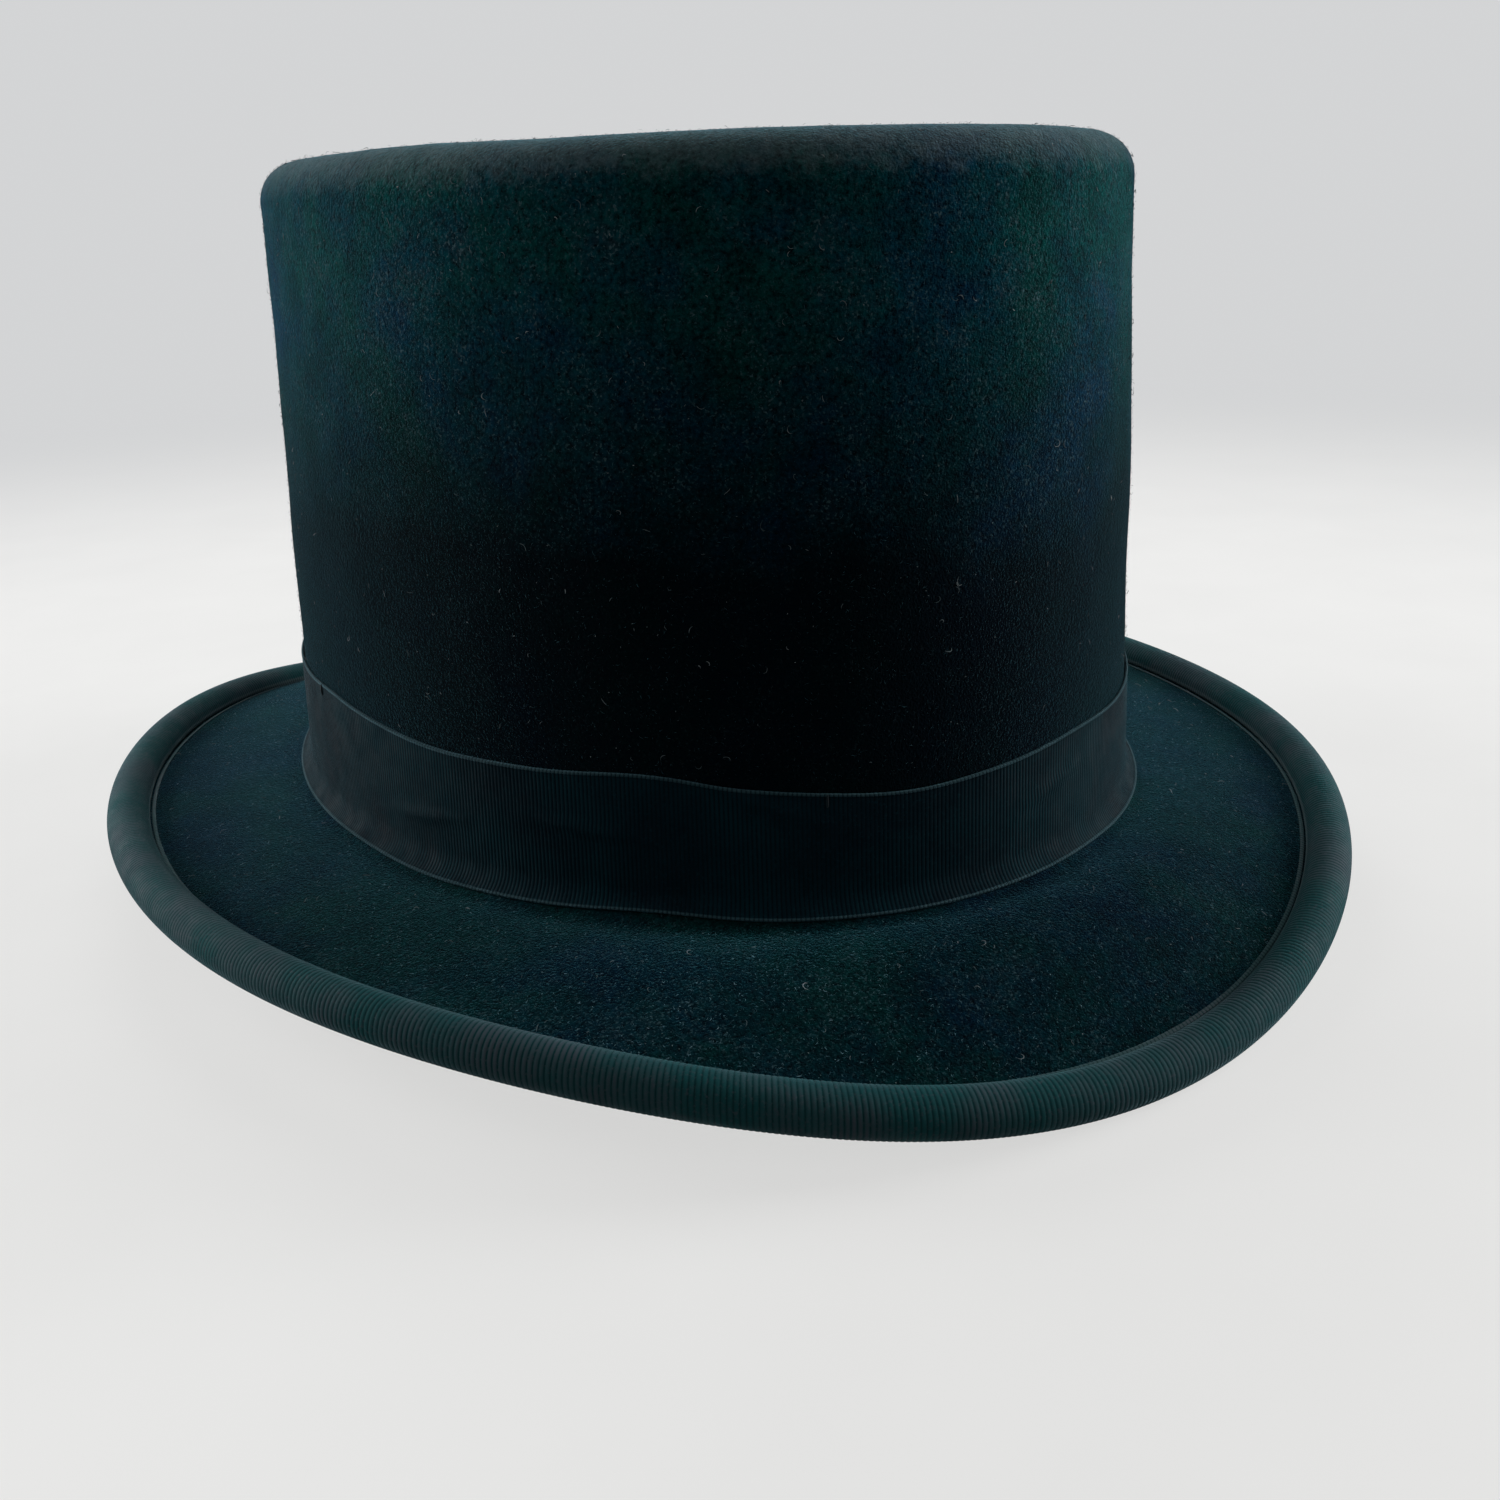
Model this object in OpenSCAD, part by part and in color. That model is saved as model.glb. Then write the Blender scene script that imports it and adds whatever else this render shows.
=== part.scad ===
// Stiff felt top hat: tapered crown, ribbon band with a flat bow, and a pencil-curled, bound brim.
//
// Axes: +Z is up, -Y is the front of the hat and +X is the wearer's left.
// Origin: centre of the hat on the surface that it stands on. It stands on the front and back dips
// of its brim.
//
// Every ring-shaped piece is swept round one oval, the middle of the felt at the foot of the side
// wall. A section of such a piece is a list of [d, z] points: d is measured outward from that oval
// along its normal, and z is the height above the surface. Angle 0 is the wearer's left, 90 the back.

/* [Side wall and tip] */
// Outside length of the crown at its foot, front to back
crown_length = 205; // [170:1:250]
// Outside width of the crown at its foot, side to side
crown_width = 171; // [145:1:220]
// Height of the tip above the top of the brim
crown_height = 124; // [90:1:180]
// How much the side wall leans in between its foot and the shoulder
crown_taper = 4.2; // [-4:0.1:10]
// Outside radius of the shoulder between the side wall and the tip
shoulder_radius = 8.4; // [5:0.1:16]
// Outside radius of the cove where the side wall runs into the brim
cove_radius = 6; // [4.5:0.1:7]
// Thickness of the felt
felt_thickness = 2; // [1.6:0.1:2.4]

/* [Brim] */
// Width of the brim at the sides, from the crown's face to the outside of the curl
brim_width_sides = 43; // [34:0.5:70]
// Width of the brim at the front and back
brim_width_ends = 45; // [34:0.5:70]
// How far the brim's edge hangs below the foot of the crown at the sides
brim_drop_sides = 6; // [2:0.5:14]
// How far the brim's edge hangs below the foot of the crown at the front and back
brim_drop_ends = 19.5; // [14:0.5:30]
// How suddenly the brim dips towards the front and back
dip_sharpness = 6; // [3:0.5:9]
// Outside radius of the curled edge, over the binding
curl_radius = 4.1; // [3.9:0.1:5.5]
// How far the felt turns in the curl
curl_turn = 262; // [200:1:268]

/* [Ribbons] */
// Thickness of the grosgrain ribbon
ribbon_thickness = 0.5; // [0.4:0.05:0.6]
// Height of the hatband at the sides, from its foot
band_height_sides = 25; // [18:0.5:40]
// Height of the hatband at the front and back, from its foot
band_height_ends = 21; // [18:0.5:40]
// How far round the cove the hatband's foot reaches
band_foot_angle = 58; // [30:1:64]
// Gap between the binding's free end in the curl and the top of the brim
binding_end_gap = 0.46; // [0.3:0.02:1.2]
// Width of binding on the underside of the brim, inside the curl
binding_under = 5; // [3:0.5:9]

/* [Bow] */
// Length of the lower pair of loops
bow_length = 76; // [60:1:100]
// Length of the upper pair of loops
bow_upper_length = 58; // [40:1:70]
// Width of the ribbon in the bow
bow_width = 19; // [12:0.5:24]
// Width of the knot
knot_width = 17; // [10:0.5:24]
// Inside gap of a flattened loop
loop_gap = 0.8; // [0.5:0.1:1.6]

/* [Sweatband] */
// Width of the leather sweatband
sweatband_width = 45; // [34:1:60]
// Thickness of the leather
leather_thickness = 1; // [0.7:0.1:1.3]
// Diameter of the reed in the sweatband's lower edge
reed_diameter = 2.2; // [1.6:0.1:2.8]
// Thickness of the tape that wraps the reed
tape_thickness = 0.4; // [0.3:0.05:0.5]
// Height of the tape's two plies above the middle of the reed
tape_height = 8; // [7:0.5:12]

/* [Lining] */
// Thickness of the satin lining
lining_thickness = 0.4; // [0.3:0.05:0.5]
// Height of the lining's lower edge above the foot of the crown
lining_hem_height = 15; // [13:1:30]
// Diameter of the piping between the lining's side and its tip
piping_diameter = 1.4; // [1:0.1:1.6]
// Width of the blank size ticket
ticket_width = 24; // [12:1:40]
// Height of the blank size ticket
ticket_height = 14; // [8:1:20]
// Thickness of the size ticket
ticket_thickness = 0.25; // [0.2:0.05:0.3]

/* [Stitching] */
// Thickness of the sewing thread
thread_diameter = 0.4; // [0.3:0.05:0.5]
// Number of stitches round the sweatband
sweatband_stitch_count = 90; // [40:1:120]
// Number of stitches round the binding
binding_stitch_count = 120; // [60:1:140]
// Length of one stitch
stitch_length = 2.6; // [1.5:0.1:3.5]
// Number of tacks along the top edge of the hatband
tack_count = 5; // [3:1:12]

/* [Hidden] */

// Clearances between neighbours
ribbon_gap = 0.15;   // under a ribbon and between the layers of the bow
tape_gap = 0.2;      // between the felt and the reed's tape
ply_gap = 0.15;      // between the tape's plies, and between tape and leather
lining_gap = 0.3;    // between the felt and the lining
thread_gap = 0.15;   // under a stitch

// Resolution
ring_steps = 72;
shoulder_steps = 4;
cove_steps = 5;
brim_steps = 5;
curl_steps = 11;
tape_steps = 6;
end_steps = 6;
cord_sides = 8;
thread_sides = 16;

// The middle surface of the felt
half_felt = felt_thickness / 2;
side_mid = crown_width / 2 - half_felt;
end_mid = crown_length / 2 - half_felt;
tip_z = brim_drop_ends + crown_height;
foot_z = brim_drop_ends - half_felt;
cove_mid = cove_radius + half_felt;
cove_z = foot_z + cove_mid;
shoulder_mid = shoulder_radius - half_felt;
shoulder_z = tip_z - shoulder_radius;
curl_mid = curl_radius - ribbon_thickness - ribbon_gap - half_felt;
brim_lean = 1.15;    // slope of the brim at the curl, as a share of its mean slope
binding_turn = 270 + asin((curl_mid - half_felt - binding_end_gap) / curl_radius);

// Skins of the ribbons, measured from the middle of the felt
ribbon_in = half_felt + ribbon_gap;
ribbon_out = ribbon_in + ribbon_thickness;

function oval_point(a) = [side_mid * cos(a), end_mid * sin(a)];
function oval_normal(a) = let (v = [cos(a) / side_mid, sin(a) / end_mid]) v / norm(v);
function place(a, p) =
    let (o = oval_point(a), n = oval_normal(a))
    [o.x + n.x * p[0], o.y + n.y * p[0], p[1]];
function by_end(a, sides, ends) = sides + (ends - sides) * pow(sin(a), 2);
function polar(centre, r, t) = centre + r * [cos(t), sin(t)];
function reversed(list) = [for (i = [len(list) - 1:-1:0]) list[i]];

// Offset of the side wall's middle at a height
function wall_d(z) = -crown_taper * (z - cove_z) / (shoulder_z - cove_z);
// Points on a skin of the shoulder, from the tip's edge down to the wall
function shoulder_centre() = [wall_d(shoulder_z) - shoulder_mid, shoulder_z];
function shoulder_skin(off, from = 90, to = 0, steps = shoulder_steps) =
    [for (i = [0:steps]) polar(shoulder_centre(), shoulder_mid + off, from + (to - from) * i / steps)];
// Points on a skin of the cove, from the wall round towards the brim
function cove_skin(off, to = 90) =
    [for (i = [0:cove_steps]) polar([cove_mid, cove_z], cove_mid - off, 180 + to * i / cove_steps)];

// The curled edge: its centre, and the slope at which the brim runs into it
function edge_drop(a) =
    brim_drop_sides + (brim_drop_ends - brim_drop_sides) * pow(abs(sin(a)), dip_sharpness);
function edge_rise(a) =
    atan((edge_drop(a - 1) - edge_drop(a + 1))
         / norm(place(a + 1, [brim_width_ends, 0]) - place(a - 1, [brim_width_ends, 0])));
function curl_centre(a) =
    [by_end(a, brim_width_sides, brim_width_ends) + half_felt - curl_radius,
     brim_drop_ends - edge_drop(a) + curl_radius];
function brim_slope(a) =
    let (c = curl_centre(a))
    atan(brim_lean * (foot_z - c[1] + curl_mid) / (c[0] - cove_mid));
// A point on a skin of the curl, t degrees after the brim runs into it
function curl_point(a, off, t) = polar(curl_centre(a), curl_mid - off, t - 90 - brim_slope(a));
function curl_skin(a, off, from, to) =
    [for (i = [0:curl_steps]) curl_point(a, off, from + (to - from) * i / curl_steps)];
// A point on a skin of the brim, u from 0 at the cove to 1 at the curl
function brim_point(a, off, u) =
    let (s = brim_slope(a), p = [cove_mid, foot_z], q = curl_point(a, 0, 0),
         r = norm(q - p), t0 = [r, 0], t1 = r * [cos(s), -sin(s)],
         m = (2 * pow(u, 3) - 3 * pow(u, 2) + 1) * p + (pow(u, 3) - 2 * pow(u, 2) + u) * t0
             + (3 * pow(u, 2) - 2 * pow(u, 3)) * q + (pow(u, 3) - pow(u, 2)) * t1,
         g = (6 * pow(u, 2) - 6 * u) * (p - q) + (3 * pow(u, 2) - 4 * u + 1) * t0
             + (3 * pow(u, 2) - 2 * u) * t1)
    m + off * [-g[1], g[0]] / norm(g);
function brim_skin(a, off, from, to, steps) =
    [for (i = [0:steps]) brim_point(a, off, from + (to - from) * i / steps)];

// One whole skin of the felt, from the tip's edge to the end of the curl
function felt_skin(a, off) =
    concat(shoulder_skin(off), cove_skin(off),
           brim_skin(a, off, 1 / brim_steps, 1 - 1 / brim_steps, brim_steps - 2),
           curl_skin(a, off, 0, curl_turn));
function felt_section(a) = concat(felt_skin(a, -half_felt), reversed(felt_skin(a, half_felt)));

// The hatband
function band_foot_z() = cove_z - (cove_mid - ribbon_out) * sin(band_foot_angle);
function band_top_z(a) = band_foot_z() + by_end(a, band_height_sides, band_height_ends);
function band_skin(a, off) =
    let (z = band_top_z(a))
    concat([[wall_d(z) + off, z]], cove_skin(off, band_foot_angle));
function band_section(a) = concat(band_skin(a, ribbon_in), reversed(band_skin(a, ribbon_out)));

// The binding lies on the outside of the curl, and a little way in under the brim
function binding_skin(a, off) =
    let (u = 1 - binding_under / norm(curl_point(a, 0, 0) - [cove_mid, foot_z]))
    concat(brim_skin(a, off, u, (1 + u) / 2, 1), curl_skin(a, off, 0, binding_turn));
function binding_section(a) =
    concat(binding_skin(a, -ribbon_out), reversed(binding_skin(a, -ribbon_in)));

// Levels and offsets inside the crown, inward from the felt's middle
tape_out = half_felt + tape_gap;
tape_bore = reed_diameter / 2 + ply_gap;
tape_round = tape_bore + tape_thickness;
tape_pinch = 2 * tape_thickness + ply_gap;
reed_z = foot_z + tape_round + half_felt;
reed_d = -tape_out - tape_round;
leather_out = tape_out + tape_pinch + ply_gap;
leather_in = leather_out + leather_thickness;
leather_z = reed_z + tape_round + tape_gap;
tape_neck_angle = 65;
tape_neck_z = reed_z + tape_round + ply_gap;
sweatband_stitch_z = leather_z + tape_height / 3;
lining_out = half_felt + lining_gap;
lining_in = lining_out + lining_thickness;
lining_z = foot_z + lining_hem_height;
lining_end_angle = 66;
piping_angle = 78;
piping_r = piping_diameter / 2;

// Section of a straight-walled band between two heights and two inward offsets
function inner_band(z0, z1, out, in) =
    [[wall_d(z0) - in, z0], [wall_d(z0) - out, z0], [wall_d(z1) - out, z1], [wall_d(z1) - in, z1]];
// Section of a round cord
function cord_section(centre, r) =
    [for (i = [0:cord_sides - 1]) polar(centre, r, 360 * i / cord_sides)];
// Section of the tape: a hairpin round the reed, pinched to two plies above it
function tape_section() =
    let (c = [reed_d, reed_z], top = reed_z + tape_height,
         neck_out = -tape_out - tape_pinch, neck_in = -tape_out - tape_thickness - ply_gap,
         turn = [for (i = [0:tape_steps]) 360 - (180 + tape_neck_angle) * (1 - i / tape_steps)])
    concat([for (t = turn) polar(c, tape_round, t)],
           [[-tape_out, top], [-tape_out - tape_thickness, top]],
           [for (t = reversed(turn)) polar(c, tape_bore, t)],
           [[neck_in, tape_neck_z], [neck_in, top], [neck_out, top], [neck_out, tape_neck_z]]);
// Section of the lining's side, turned in under the shoulder
function lining_section() =
    concat([[wall_d(lining_z) - lining_in, lining_z], [wall_d(lining_z) - lining_out, lining_z]],
           shoulder_skin(-lining_out, 0, lining_end_angle, 2),
           shoulder_skin(-lining_in, lining_end_angle, 0, 2));

// The bow lies on the wearer's left, on a straight line from the hatband's top to its flared foot
bow_top_z = band_foot_z() + (band_height_sides + bow_width) / 2;
bow_foot_z = bow_top_z - bow_width;
function band_face_d(z) =
    z > cove_z ? wall_d(z) + ribbon_out
    : cove_mid - sqrt(pow(cove_mid - ribbon_out, 2) - pow(cove_z - z, 2));
function bow_face_d(z) =
    let (d0 = band_face_d(bow_foot_z - 2 * ribbon_thickness),
         d1 = band_face_d(bow_top_z + 2 * ribbon_thickness))
    d0 + (d1 - d0) * (z - bow_foot_z) / bow_width;
// A point of the bow: s along the band, o outward from it, at a height
function bow_point(s, o, z) = place(s / end_mid * 180 / PI, [bow_face_d(z) + o, z]);
loop_depth = loop_gap + 2 * ribbon_thickness;
knot_back = ribbon_gap + ribbon_thickness;
lower_loop_o = knot_back + ribbon_gap;
upper_loop_o = lower_loop_o + loop_depth + ribbon_gap;
knot_front = upper_loop_o + loop_depth + ribbon_gap;
loop_spans = 8;

// Outline of a flattened loop along the band: straight runs joined by half rounds, r from its middle
function loop_outline(length, middle_o, r) =
    let (h = length / 2 - loop_depth / 2)
    concat([for (i = [0:loop_spans]) [-h + 2 * h * i / loop_spans, middle_o - r]],
           [for (i = [1:end_steps - 1]) polar([h, middle_o], r, 180 * i / end_steps - 90)],
           [for (i = [0:loop_spans]) [h - 2 * h * i / loop_spans, middle_o + r]],
           [for (i = [1:end_steps - 1]) polar([-h, middle_o], r, 180 * i / end_steps + 90)]);
// Outline of the knot's wrap in its own plane, as [o, z] pairs
function knot_outline(o0, o1, z0, z1) = [[o0, z0], [o1, z0], [o1, z1], [o0, z1]];

// Solid through closed sections that follow one another in a closed ring
module closed_sweep(sections) {
    n = len(sections);
    m = len(sections[0]);
    polyhedron(
        points = [for (s = sections) each s],
        faces = [for (i = [0:n - 1], j = [0:m - 1])
            let (p = i * m + j, q = i * m + (j + 1) % m,
                 r = (i + 1) % n * m + (j + 1) % m, s = (i + 1) % n * m + j)
            each [[p, q, r], [p, r, s]]]);
}

// Solid through closed sections with a flat cap on the first and the last
module open_sweep(sections) {
    n = len(sections);
    m = len(sections[0]);
    polyhedron(
        points = [for (s = sections) each s],
        faces = concat(
            [for (i = [0:n - 2], j = [0:m - 1])
                let (p = i * m + j, q = i * m + (j + 1) % m,
                     r = (i + 1) * m + (j + 1) % m, s = (i + 1) * m + j)
                each [[p, q, r], [p, r, s]]],
            [[for (j = [m - 1:-1:0]) j]],
            [[for (j = [0:m - 1]) (n - 1) * m + j]]));
}

// A ring whose section depends on the angle round the oval
module oval_ring(section) {
    closed_sweep([for (i = [0:ring_steps - 1])
        let (a = 360 * i / ring_steps) [for (p = section(a)) place(a, p)]]);
}

// One length of thread on the surface, upright
module thread() {
    cylinder(h = stitch_length, d = thread_diameter, center = true, $fn = thread_sides);
}

// A stitch that lies along the oval at a section point, rising with the edge it follows
module stitch(a, p, rise = 0) {
    t = [-side_mid * sin(a), end_mid * cos(a)];
    translate(place(a, p))
        rotate([0, 90 - rise, atan2(t.y, t.x)]) thread();
}

// Blocked felt: tip, side wall, brim and curl in one piece
module felt_body() {
    m = len(felt_section(0));
    last = ring_steps * m;
    color([0.02, 0.06, 0.07])
        polyhedron(
            points = concat(
                [for (i = [0:ring_steps - 1]) let (a = 360 * i / ring_steps)
                    each [for (p = felt_section(a)) place(a, p)]],
                [[0, 0, tip_z - felt_thickness], [0, 0, tip_z]]),
            faces = [for (i = [0:ring_steps - 1]) let (k = (i + 1) % ring_steps) each concat(
                [for (j = [0:m - 2]) each
                    [[i * m + j, i * m + j + 1, k * m + j + 1], [i * m + j, k * m + j + 1, k * m + j]]],
                [[last, i * m, k * m], [last + 1, k * m + m - 1, i * m + m - 1]])]);
}

// Grosgrain ribbon round the foot of the crown
module hatband() {
    color([0.09, 0.13, 0.15]) oval_ring(function(a) band_section(a));
}

// Grosgrain ribbon over the curled edge
module brim_binding() {
    color([0.14, 0.19, 0.20]) oval_ring(function(a) binding_section(a));
}

// One flattened ribbon loop of the bow, whose inner face starts at o
module bow_loop(length, o) {
    middle_o = o + loop_depth / 2;
    outer = loop_outline(length, middle_o, loop_depth / 2);
    inner = loop_outline(length, middle_o, loop_gap / 2);
    closed_sweep([for (i = [0:len(outer) - 1])
        [bow_point(outer[i][0], outer[i][1], bow_foot_z), bow_point(outer[i][0], outer[i][1], bow_top_z),
         bow_point(inner[i][0], inner[i][1], bow_top_z), bow_point(inner[i][0], inner[i][1], bow_foot_z)]]);
}

module bow_lower_loops() {
    color([0.09, 0.13, 0.15]) bow_loop(bow_length, lower_loop_o);
}

module bow_upper_loops() {
    color([0.09, 0.13, 0.15]) bow_loop(bow_upper_length, upper_loop_o);
}

// Ribbon wrapped round the middle of the bow
module bow_knot() {
    outer = knot_outline(ribbon_gap, knot_front + ribbon_thickness,
                         bow_foot_z - knot_back, bow_top_z + knot_back);
    inner = knot_outline(knot_back, knot_front, bow_foot_z - ribbon_gap, bow_top_z + ribbon_gap);
    spans = 4;
    color([0.09, 0.13, 0.15])
        closed_sweep([for (k = [0:3]) let (o = outer[k], n = inner[k]) concat(
            [for (i = [0:spans]) bow_point(knot_width * (i / spans - 0.5), o[0], o[1])],
            [for (i = [spans:-1:0]) bow_point(knot_width * (i / spans - 0.5), n[0], n[1])])]);
}

// Leather band inside the head opening
module sweatband() {
    color([0.45, 0.28, 0.15])
        oval_ring(function(a) inner_band(leather_z, leather_z + sweatband_width, leather_out, leather_in));
}

// Cord that stiffens the sweatband's lower edge
module sweatband_reed() {
    color([0.75, 0.70, 0.60]) oval_ring(function(a) cord_section([reed_d, reed_z], reed_diameter / 2));
}

// Narrow tape that wraps the reed and joins the leather to the felt
module reed_tape() {
    color([0.10, 0.10, 0.10]) oval_ring(function(a) tape_section());
}

// Stitches along the lower edge of the leather
module sweatband_stitches() {
    d = wall_d(sweatband_stitch_z) - leather_in - thread_gap - thread_diameter / 2;
    color([0.80, 0.74, 0.62])
        for (i = [0:sweatband_stitch_count - 1])
            stitch(360 * i / sweatband_stitch_count, [d, sweatband_stitch_z]);
}

// Small flat ribbon bow over the joint of the leather, at the back
module sweatband_back_bow() {
    loop_length = 8;
    bow_height = 6;
    waist = 2.4;
    hollow = pow(loop_length, 2) * end_mid / (2 * pow(side_mid, 2));
    face = end_mid + wall_d(leather_z + bow_height) - leather_in - hollow - 2 * ribbon_gap;
    color([0.10, 0.10, 0.10])
        translate([0, face, leather_z + bow_height])
            rotate([90, 0, 0]) {
                linear_extrude(ribbon_thickness)
                    polygon([[-loop_length, -bow_height / 2], [-loop_length, bow_height / 2],
                             [-waist / 2, waist / 2], [waist / 2, waist / 2],
                             [loop_length, bow_height / 2], [loop_length, -bow_height / 2],
                             [waist / 2, -waist / 2], [-waist / 2, -waist / 2]]);
                translate([-waist / 2, -waist, ribbon_thickness])
                    cube([waist, 2 * waist, ribbon_thickness]);
            }
}

// Satin lining of the side wall
module lining_side() {
    color([0.82, 0.78, 0.70]) oval_ring(function(a) lining_section());
}

// Satin oval under the tip
module lining_tip() {
    d = shoulder_centre()[0];
    z = tip_z - felt_thickness - lining_gap - lining_thickness;
    color([0.82, 0.78, 0.70])
        translate([0, 0, z])
            linear_extrude(lining_thickness)
                polygon([for (i = [0:ring_steps - 1])
                    let (p = place(360 * i / ring_steps, [d, 0])) [p.x, p.y]]);
}

// Corded seam between the lining's side and its tip, whose middle lies just inside the lining
module lining_piping() {
    middle_r = shoulder_mid - lining_in - piping_r / 2;
    color([0.60, 0.55, 0.46])
        oval_ring(function(a) cord_section(polar(shoulder_centre(), middle_r, piping_angle), piping_r));
}

// Stitches through the binding on the underside of the brim
module binding_stitches() {
    color([0.10, 0.14, 0.15])
        for (i = [0:binding_stitch_count - 1])
            let (a = 360 * i / binding_stitch_count,
                 from_curl = binding_under - 2 * thread_diameter,
                 u = 1 - from_curl / norm(curl_point(a, 0, 0) - [cove_mid, foot_z]),
                 p = brim_point(a, -ribbon_out - thread_gap - thread_diameter / 2, u))
                stitch(a, p, edge_rise(a));
}

// Thread tacks over the top edge of the hatband
module hatband_tacks() {
    first = 40;
    spread = 280;
    off = ribbon_out + thread_gap + thread_diameter / 2;
    color([0.05, 0.07, 0.08])
        for (i = [0:tack_count - 1])
            let (a = first + spread * i / (tack_count - 1), z = band_top_z(a))
                translate(place(a, [wall_d(z) + off, z - stitch_length / 2])) thread();
}

// Blank ticket tucked between the leather and the lining at the back
module size_ticket() {
    steps = 4;
    tucked = 4;
    half_angle = ticket_width / 2 / side_mid * 180 / PI;
    z0 = leather_z + sweatband_width - ticket_height - tucked;
    in = leather_out - ply_gap;
    color([0.92, 0.90, 0.84])
        open_sweep([for (i = [0:steps])
            let (a = 90 + half_angle * (2 * i / steps - 1))
            [for (p = inner_band(z0, z0 + ticket_height, in - ticket_thickness, in)) place(a, p)]]);
}

felt_body();
hatband();
brim_binding();
bow_lower_loops();
bow_upper_loops();
bow_knot();
sweatband();
sweatband_reed();
reed_tape();
sweatband_stitches();
sweatband_back_bow();
lining_side();
lining_tip();
lining_piping();
binding_stitches();
hatband_tacks();
size_ticket();
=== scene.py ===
"""Stiff black felt top hat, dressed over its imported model.

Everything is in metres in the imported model's frame: +Z up, -Y the front of the hat, +X the wearer's
left. Each ring-shaped piece follows one oval, the middle of the felt at the foot of the side wall.
"""

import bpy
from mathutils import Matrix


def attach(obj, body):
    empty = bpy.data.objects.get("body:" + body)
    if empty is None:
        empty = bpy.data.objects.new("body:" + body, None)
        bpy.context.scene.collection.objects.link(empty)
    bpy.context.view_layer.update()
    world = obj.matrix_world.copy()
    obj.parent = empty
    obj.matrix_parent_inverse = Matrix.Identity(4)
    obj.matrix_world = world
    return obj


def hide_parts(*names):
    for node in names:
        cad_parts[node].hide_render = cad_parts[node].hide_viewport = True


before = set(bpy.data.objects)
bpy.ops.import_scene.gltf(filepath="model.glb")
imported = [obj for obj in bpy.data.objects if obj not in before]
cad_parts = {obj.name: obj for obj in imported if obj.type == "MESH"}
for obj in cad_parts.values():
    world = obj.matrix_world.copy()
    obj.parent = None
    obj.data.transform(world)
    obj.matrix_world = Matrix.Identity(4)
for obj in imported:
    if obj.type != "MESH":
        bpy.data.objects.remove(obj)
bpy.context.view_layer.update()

import logging
import math
from collections.abc import Callable, Sequence
from dataclasses import dataclass, field
from enum import Enum

import bmesh
import bpy
import numpy as np
from mathutils import Matrix, Vector

LOG = logging.getLogger("top_hat")
MM = 0.001
TURN = 2.0 * math.pi
BODY = "root"
FINE_STEPS = 7200
TRACK_STEPS = 3600
TRACK_SHARES = np.linspace(0, 1, TRACK_STEPS + 1)

Surface = Callable[[np.ndarray, np.ndarray, np.ndarray], np.ndarray]
Colour = tuple[float, float, float]
Range = tuple[float, float]


class Slot(Enum):
    """Names of material slots."""

    FELT = "felt"
    BAND = "band_ribbon"
    BINDING = "binding_ribbon"
    LEATHER = "leather"
    TAPE = "tape"
    PALE_THREAD = "pale_thread"
    DARK_THREAD = "dark_thread"
    SATIN = "satin"
    PIPING = "piping"
    TICKET = "ticket"


class Across(Enum):
    """Ways in which bands lie across a position."""

    Y = "Y"
    DIAGONAL = "DIAGONAL"


class Held(Enum):
    """Ways in which a ribbon, a leather or a piece of cloth is held."""

    STRETCHED = "stretched"
    FOLDED = "folded"
    HUNG = "hung"
    LAID = "laid"


# ---------------------------------------------------------------------------------------------
# Shape of the hat
# ---------------------------------------------------------------------------------------------


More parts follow.
